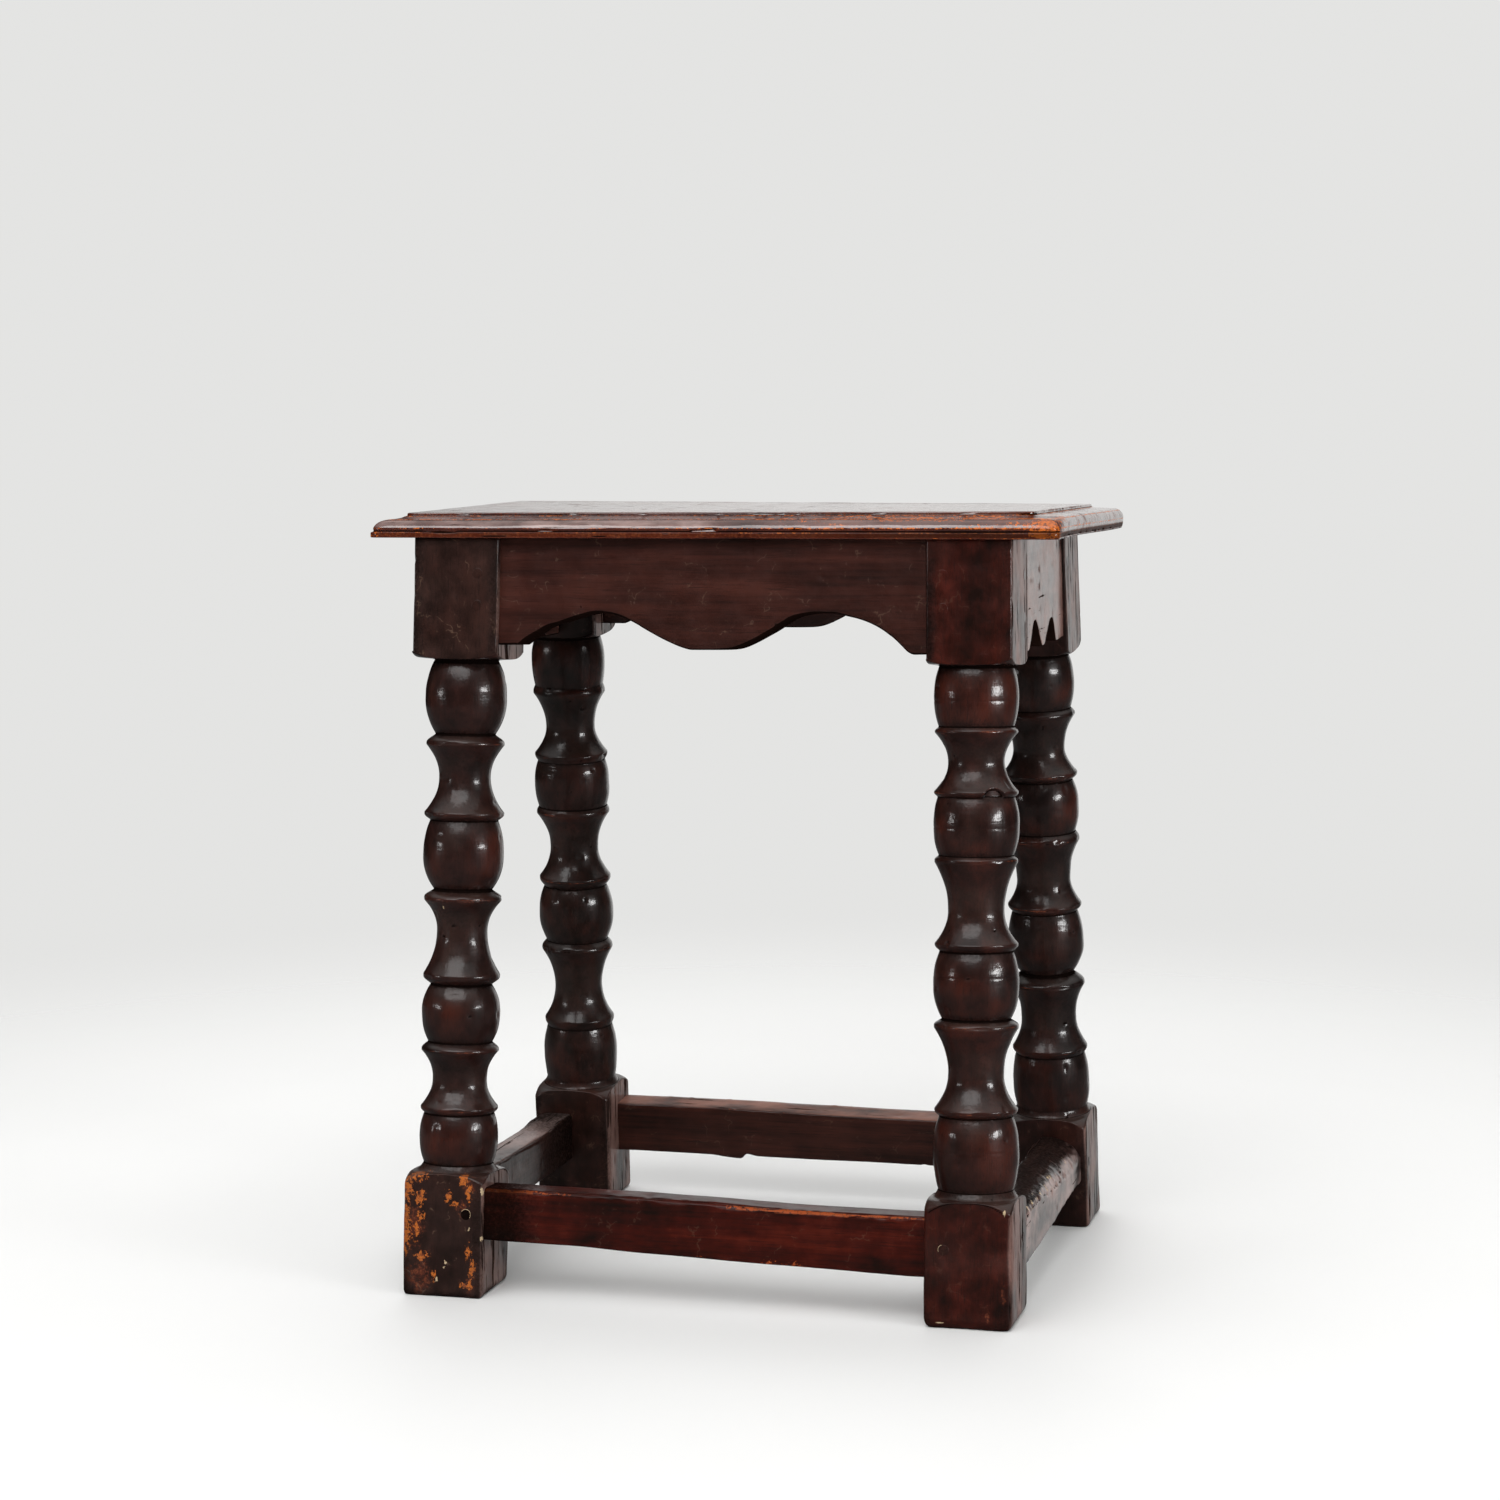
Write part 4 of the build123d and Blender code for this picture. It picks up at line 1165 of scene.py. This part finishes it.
# -------- pegs
# Stretcher pegs whose heads show a pale rim, by side and leg: its bearing, half its reach and the
# head's dirt. On the front left leg the rim is a pale chip, and on the front right one a painted
# highlight on the peg's edge.
PALE_RIMS = {"front_front_left": (-50, 95, 0.75), "front_front_right": (-155, 50, 0.3)}
PEG_SLACK = 0.97  # a riven peg's radius, as a share of the frame's
PEG_COLUMNS = 48
PEG_LENGTH = 30  # of those in the sides


def peg_place(node):
    """A peg's own axes, with Z outwards along it, where its head lies on them, and its length."""
    low, high = (np.array(corner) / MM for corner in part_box(node))
    middle = (low + high) / 2
    parts = node.split("_")
    if parts[1] == "seat":
        axes = Matrix.Translation((middle[0], middle[1], seat_high[2]))
        return axes, -0.5 - corner_share(middle[0], middle[1], TOP_SAG), high[2] - low[2]
    matrix = side_matrix(parts[2])
    skin = placed(skins["_".join(parts[3:5])], matrix.inverted())
    x, _, z = matrix.inverted() @ Vector(middle)
    near = (np.hypot(skin[:, 0] - x, skin[:, 2] - z) < 1.3 * PEG_RADIUS) & (skin[:, 1] > LEG_HALF - 6)
    axes = matrix @ Matrix.Translation((x, 0, z)) @ Matrix.Rotation(-math.pi / 2, 4, "X")
    return axes, np.median(skin[near, 1]) + 0.12, PEG_LENGTH


def peg_piece(node):
    """A riven peg in place of its node: not quite round, its head cut off at its leg's own surface."""
    axes, head, length = peg_place(node)
    turn = np.linspace(0, 2 * math.pi, PEG_COLUMNS, endpoint=False)[None, :]
    depth = np.array([0, 0.01, 0.03, 0.1, 0.4, 1.0, 0.3 * length, 0.6 * length, length])[:, None]
    shrink = np.array([0.45, 0.86, 0.92, 0.97, 0.99, 1, 1, 0.96, 0.7])[:, None]
    seed = 7000 + 13 * sum(map(ord, node))
    faceted = 1 + 0.05 * noise(xyz(np.cos(turn) * 3, np.sin(turn) * 3, 0), 2.5, seed)
    r = PEG_RADIUS * PEG_SLACK * shrink * faceted
    grid = xyz(r * np.cos(turn), r * np.sin(turn), head - depth)[::-1]

    masks = {}
    material = wood["peg"]
    _, kind, side, *rest = node.split("_")
    leg_name = "_".join(rest[:2])
    if kind == "apron":
        material = leg_woods[leg_name]
        masks["square"] = np.ones_like(r)
    elif kind == "stretcher":
        bearing, reach, darkened = PALE_RIMS.get(f"{side}_{leg_name}", (0, 0, 0.4))
        masks["grime_and_shade"] = np.full_like(r, darkened)
        aside = abs((180 - np.degrees(turn) - bearing + 180) % 360 - 180)
        on_rim = (shrink[::-1] > 0.9) & (depth[::-1] < 0.5)
        # A pale rim on the head: a chip on one peg, a painted highlight on the other.
        masks["chips_and_highlight"] = on_rim * (aside < reach) * 0.9
    name = node.removeprefix("peg_") + "_peg"
    add_tube(name, placed(grid, axes), masks, material, node)


# -------- the stool
for leg_name in LEGS:
    leg_piece(leg_name)
for number, side_name in enumerate(SIDES):
    apron_piece(side_name, APRON_SEED + 50 * number)
    stretcher_piece(side_name)
seat_piece()
for node_name in sorted(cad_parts):
    if node_name.startswith("peg_"):
        peg_piece(node_name)

# -------- floor, light and camera
WALL = (0.775, 0.775, 0.765)
FLOOR_COLOUR = (0.755, 0.755, 0.75)
FLOOR_RINGS = (0.02, 0.6, 1.2, 2.0, 3.2)  # radii in metres
FLOOR_COLUMNS = 96
FLOOR_FADE = (0.45, 1.5)  # from the middle, in metres


def floor():
    """A pale floor whose rim fades into the background."""
    turn = np.linspace(0, 2 * math.pi, FLOOR_COLUMNS, endpoint=False)
    rings = np.array(FLOOR_RINGS)[:, None]
    points = xyz(rings * np.cos(turn), rings * np.sin(turn), 0)
    faces = [face[::-1] for face in tube_faces(len(FLOOR_RINGS), FLOOR_COLUMNS, capped=False)]
    faces.append(list(range(FLOOR_COLUMNS)))
    material = bpy.data.materials.new("floor_paint")
    g = Graph(material)
    distance = g.add("VectorMath", "Value", {0: g.place()}, operation="LENGTH")
    seen = g.step(distance, *FLOOR_FADE) * g.add("LightPath", "Is Camera Ray")
    fade = g.highest(seen, 0.9 * g.add("LightPath", "Is Glossy Ray"))
    paint = g.nodes["Principled BSDF"]
    g.put(paint, {"Base Color": colour(FLOOR_COLOUR), "Roughness": 0.6, "Specular IOR Level": 0.2})
    clear = g.add("BsdfTransparent", 0)
    blend = g.add("MixShader", 0, {0: fade, 1: Value(g, paint.outputs[0]), 2: clear})
    g.put(g.nodes["Material Output"], {"Surface": blend})
    new_mesh("floor", points, faces, material)


def surroundings():
    """A pale room: the wall that the camera sees, and for the lighting darker on the camera's side."""
    world = bpy.data.worlds.new("room")
    bpy.context.scene.world = world
    g = Graph(world)
    way = g.add("SeparateXYZ", 0, {0: g.add("TexCoord", "Generated")}).socket.node.outputs
    x, y, z = (Value(g, socket) for socket in way)
    depth = g.step(y, 0.86, 0.97, 0.03, 1.0)
    side = g.step(x, -0.75, -0.3, 0.15, 1.0)
    height = g.step(z, -0.45, 0.0, 0.4, 1.0)
    lit = g.highest(depth * side * height, g.step(z, 0.35, 0.9))
    strength = g.highest(lit, g.add("LightPath", "Is Camera Ray"))
    g.put(g.nodes["Background"], {"Color": colour(WALL), "Strength": strength})


def lamp(name, place, target, size, power, glossy=True):
    """An oval lamp that lights the stool but isn't in the picture. Metres and watts."""
    data = bpy.data.lights.new(name, "AREA")
    data.shape = "ELLIPSE"
    data.size, data.size_y = size
    data.energy = power
    made = new_object(name, data)
    made.location = place
    made.rotation_euler = (Vector(target) - Vector(place)).to_track_quat("-Z", "Y").to_euler()
    made.visible_glossy = glossy
    made.visible_camera = False


CAMERA_PLACE = (558.9, -2097.5, 560.0)
CAMERA_YAW = 15.097
CAMERA_TILT = 5.974  # downwards
CAMERA_ROLL = -0.541
CAMERA_LENS = 80.4


def camera():
    """Where the picture was taken from: a little right of the front, just above the seat."""
    data = bpy.data.cameras.new("camera")
    data.sensor_width = 36
    data.lens = CAMERA_LENS
    data.clip_end = 50
    made = new_object("camera", data)
    place = Matrix.Translation(Vector(CAMERA_PLACE) * MM)
    yaw = Matrix.Rotation(math.radians(CAMERA_YAW), 4, "Z")
    pitch = Matrix.Rotation(math.radians(90 - CAMERA_TILT), 4, "X")
    roll = Matrix.Rotation(math.radians(CAMERA_ROLL), 4, "Z")
    made.matrix_world = place @ yaw @ pitch @ roll
    bpy.context.scene.camera = made


floor()
surroundings()
lamp("window", (2.43, -0.93, 0.68), (0, 0, 0.3), (1.15, 0.32), 23)
lamp("far_window", (-2.3, -1.6, 0.6), (0, 0, 0.3), (0.7, 0.12), 3.5)
lamp("ceiling", (0.1, -0.2, 2.4), (0, 0, 0), (6.0, 6.0), 46, glossy=False)
lamp("cornice", (-0.3, -2.2, 2.6), (0, 0, 0.4), (3.4, 1.8), 40)
lamp("front_fill", (0.3, -3.0, 2.0), (0, 0, 0.25), (2.5, 2.0), 28, glossy=False)
lamp("back_fill", (-0.8, 3.0, 1.5), (0, 0, 0), (4.0, 2.0), 54, glossy=False)
lamp("left_fill", (-3.0, 0.5, 1.4), (0, 0, 0), (2.5, 2.0), 8, glossy=False)
camera()

scene = bpy.context.scene
scene.view_settings.view_transform = "Standard"
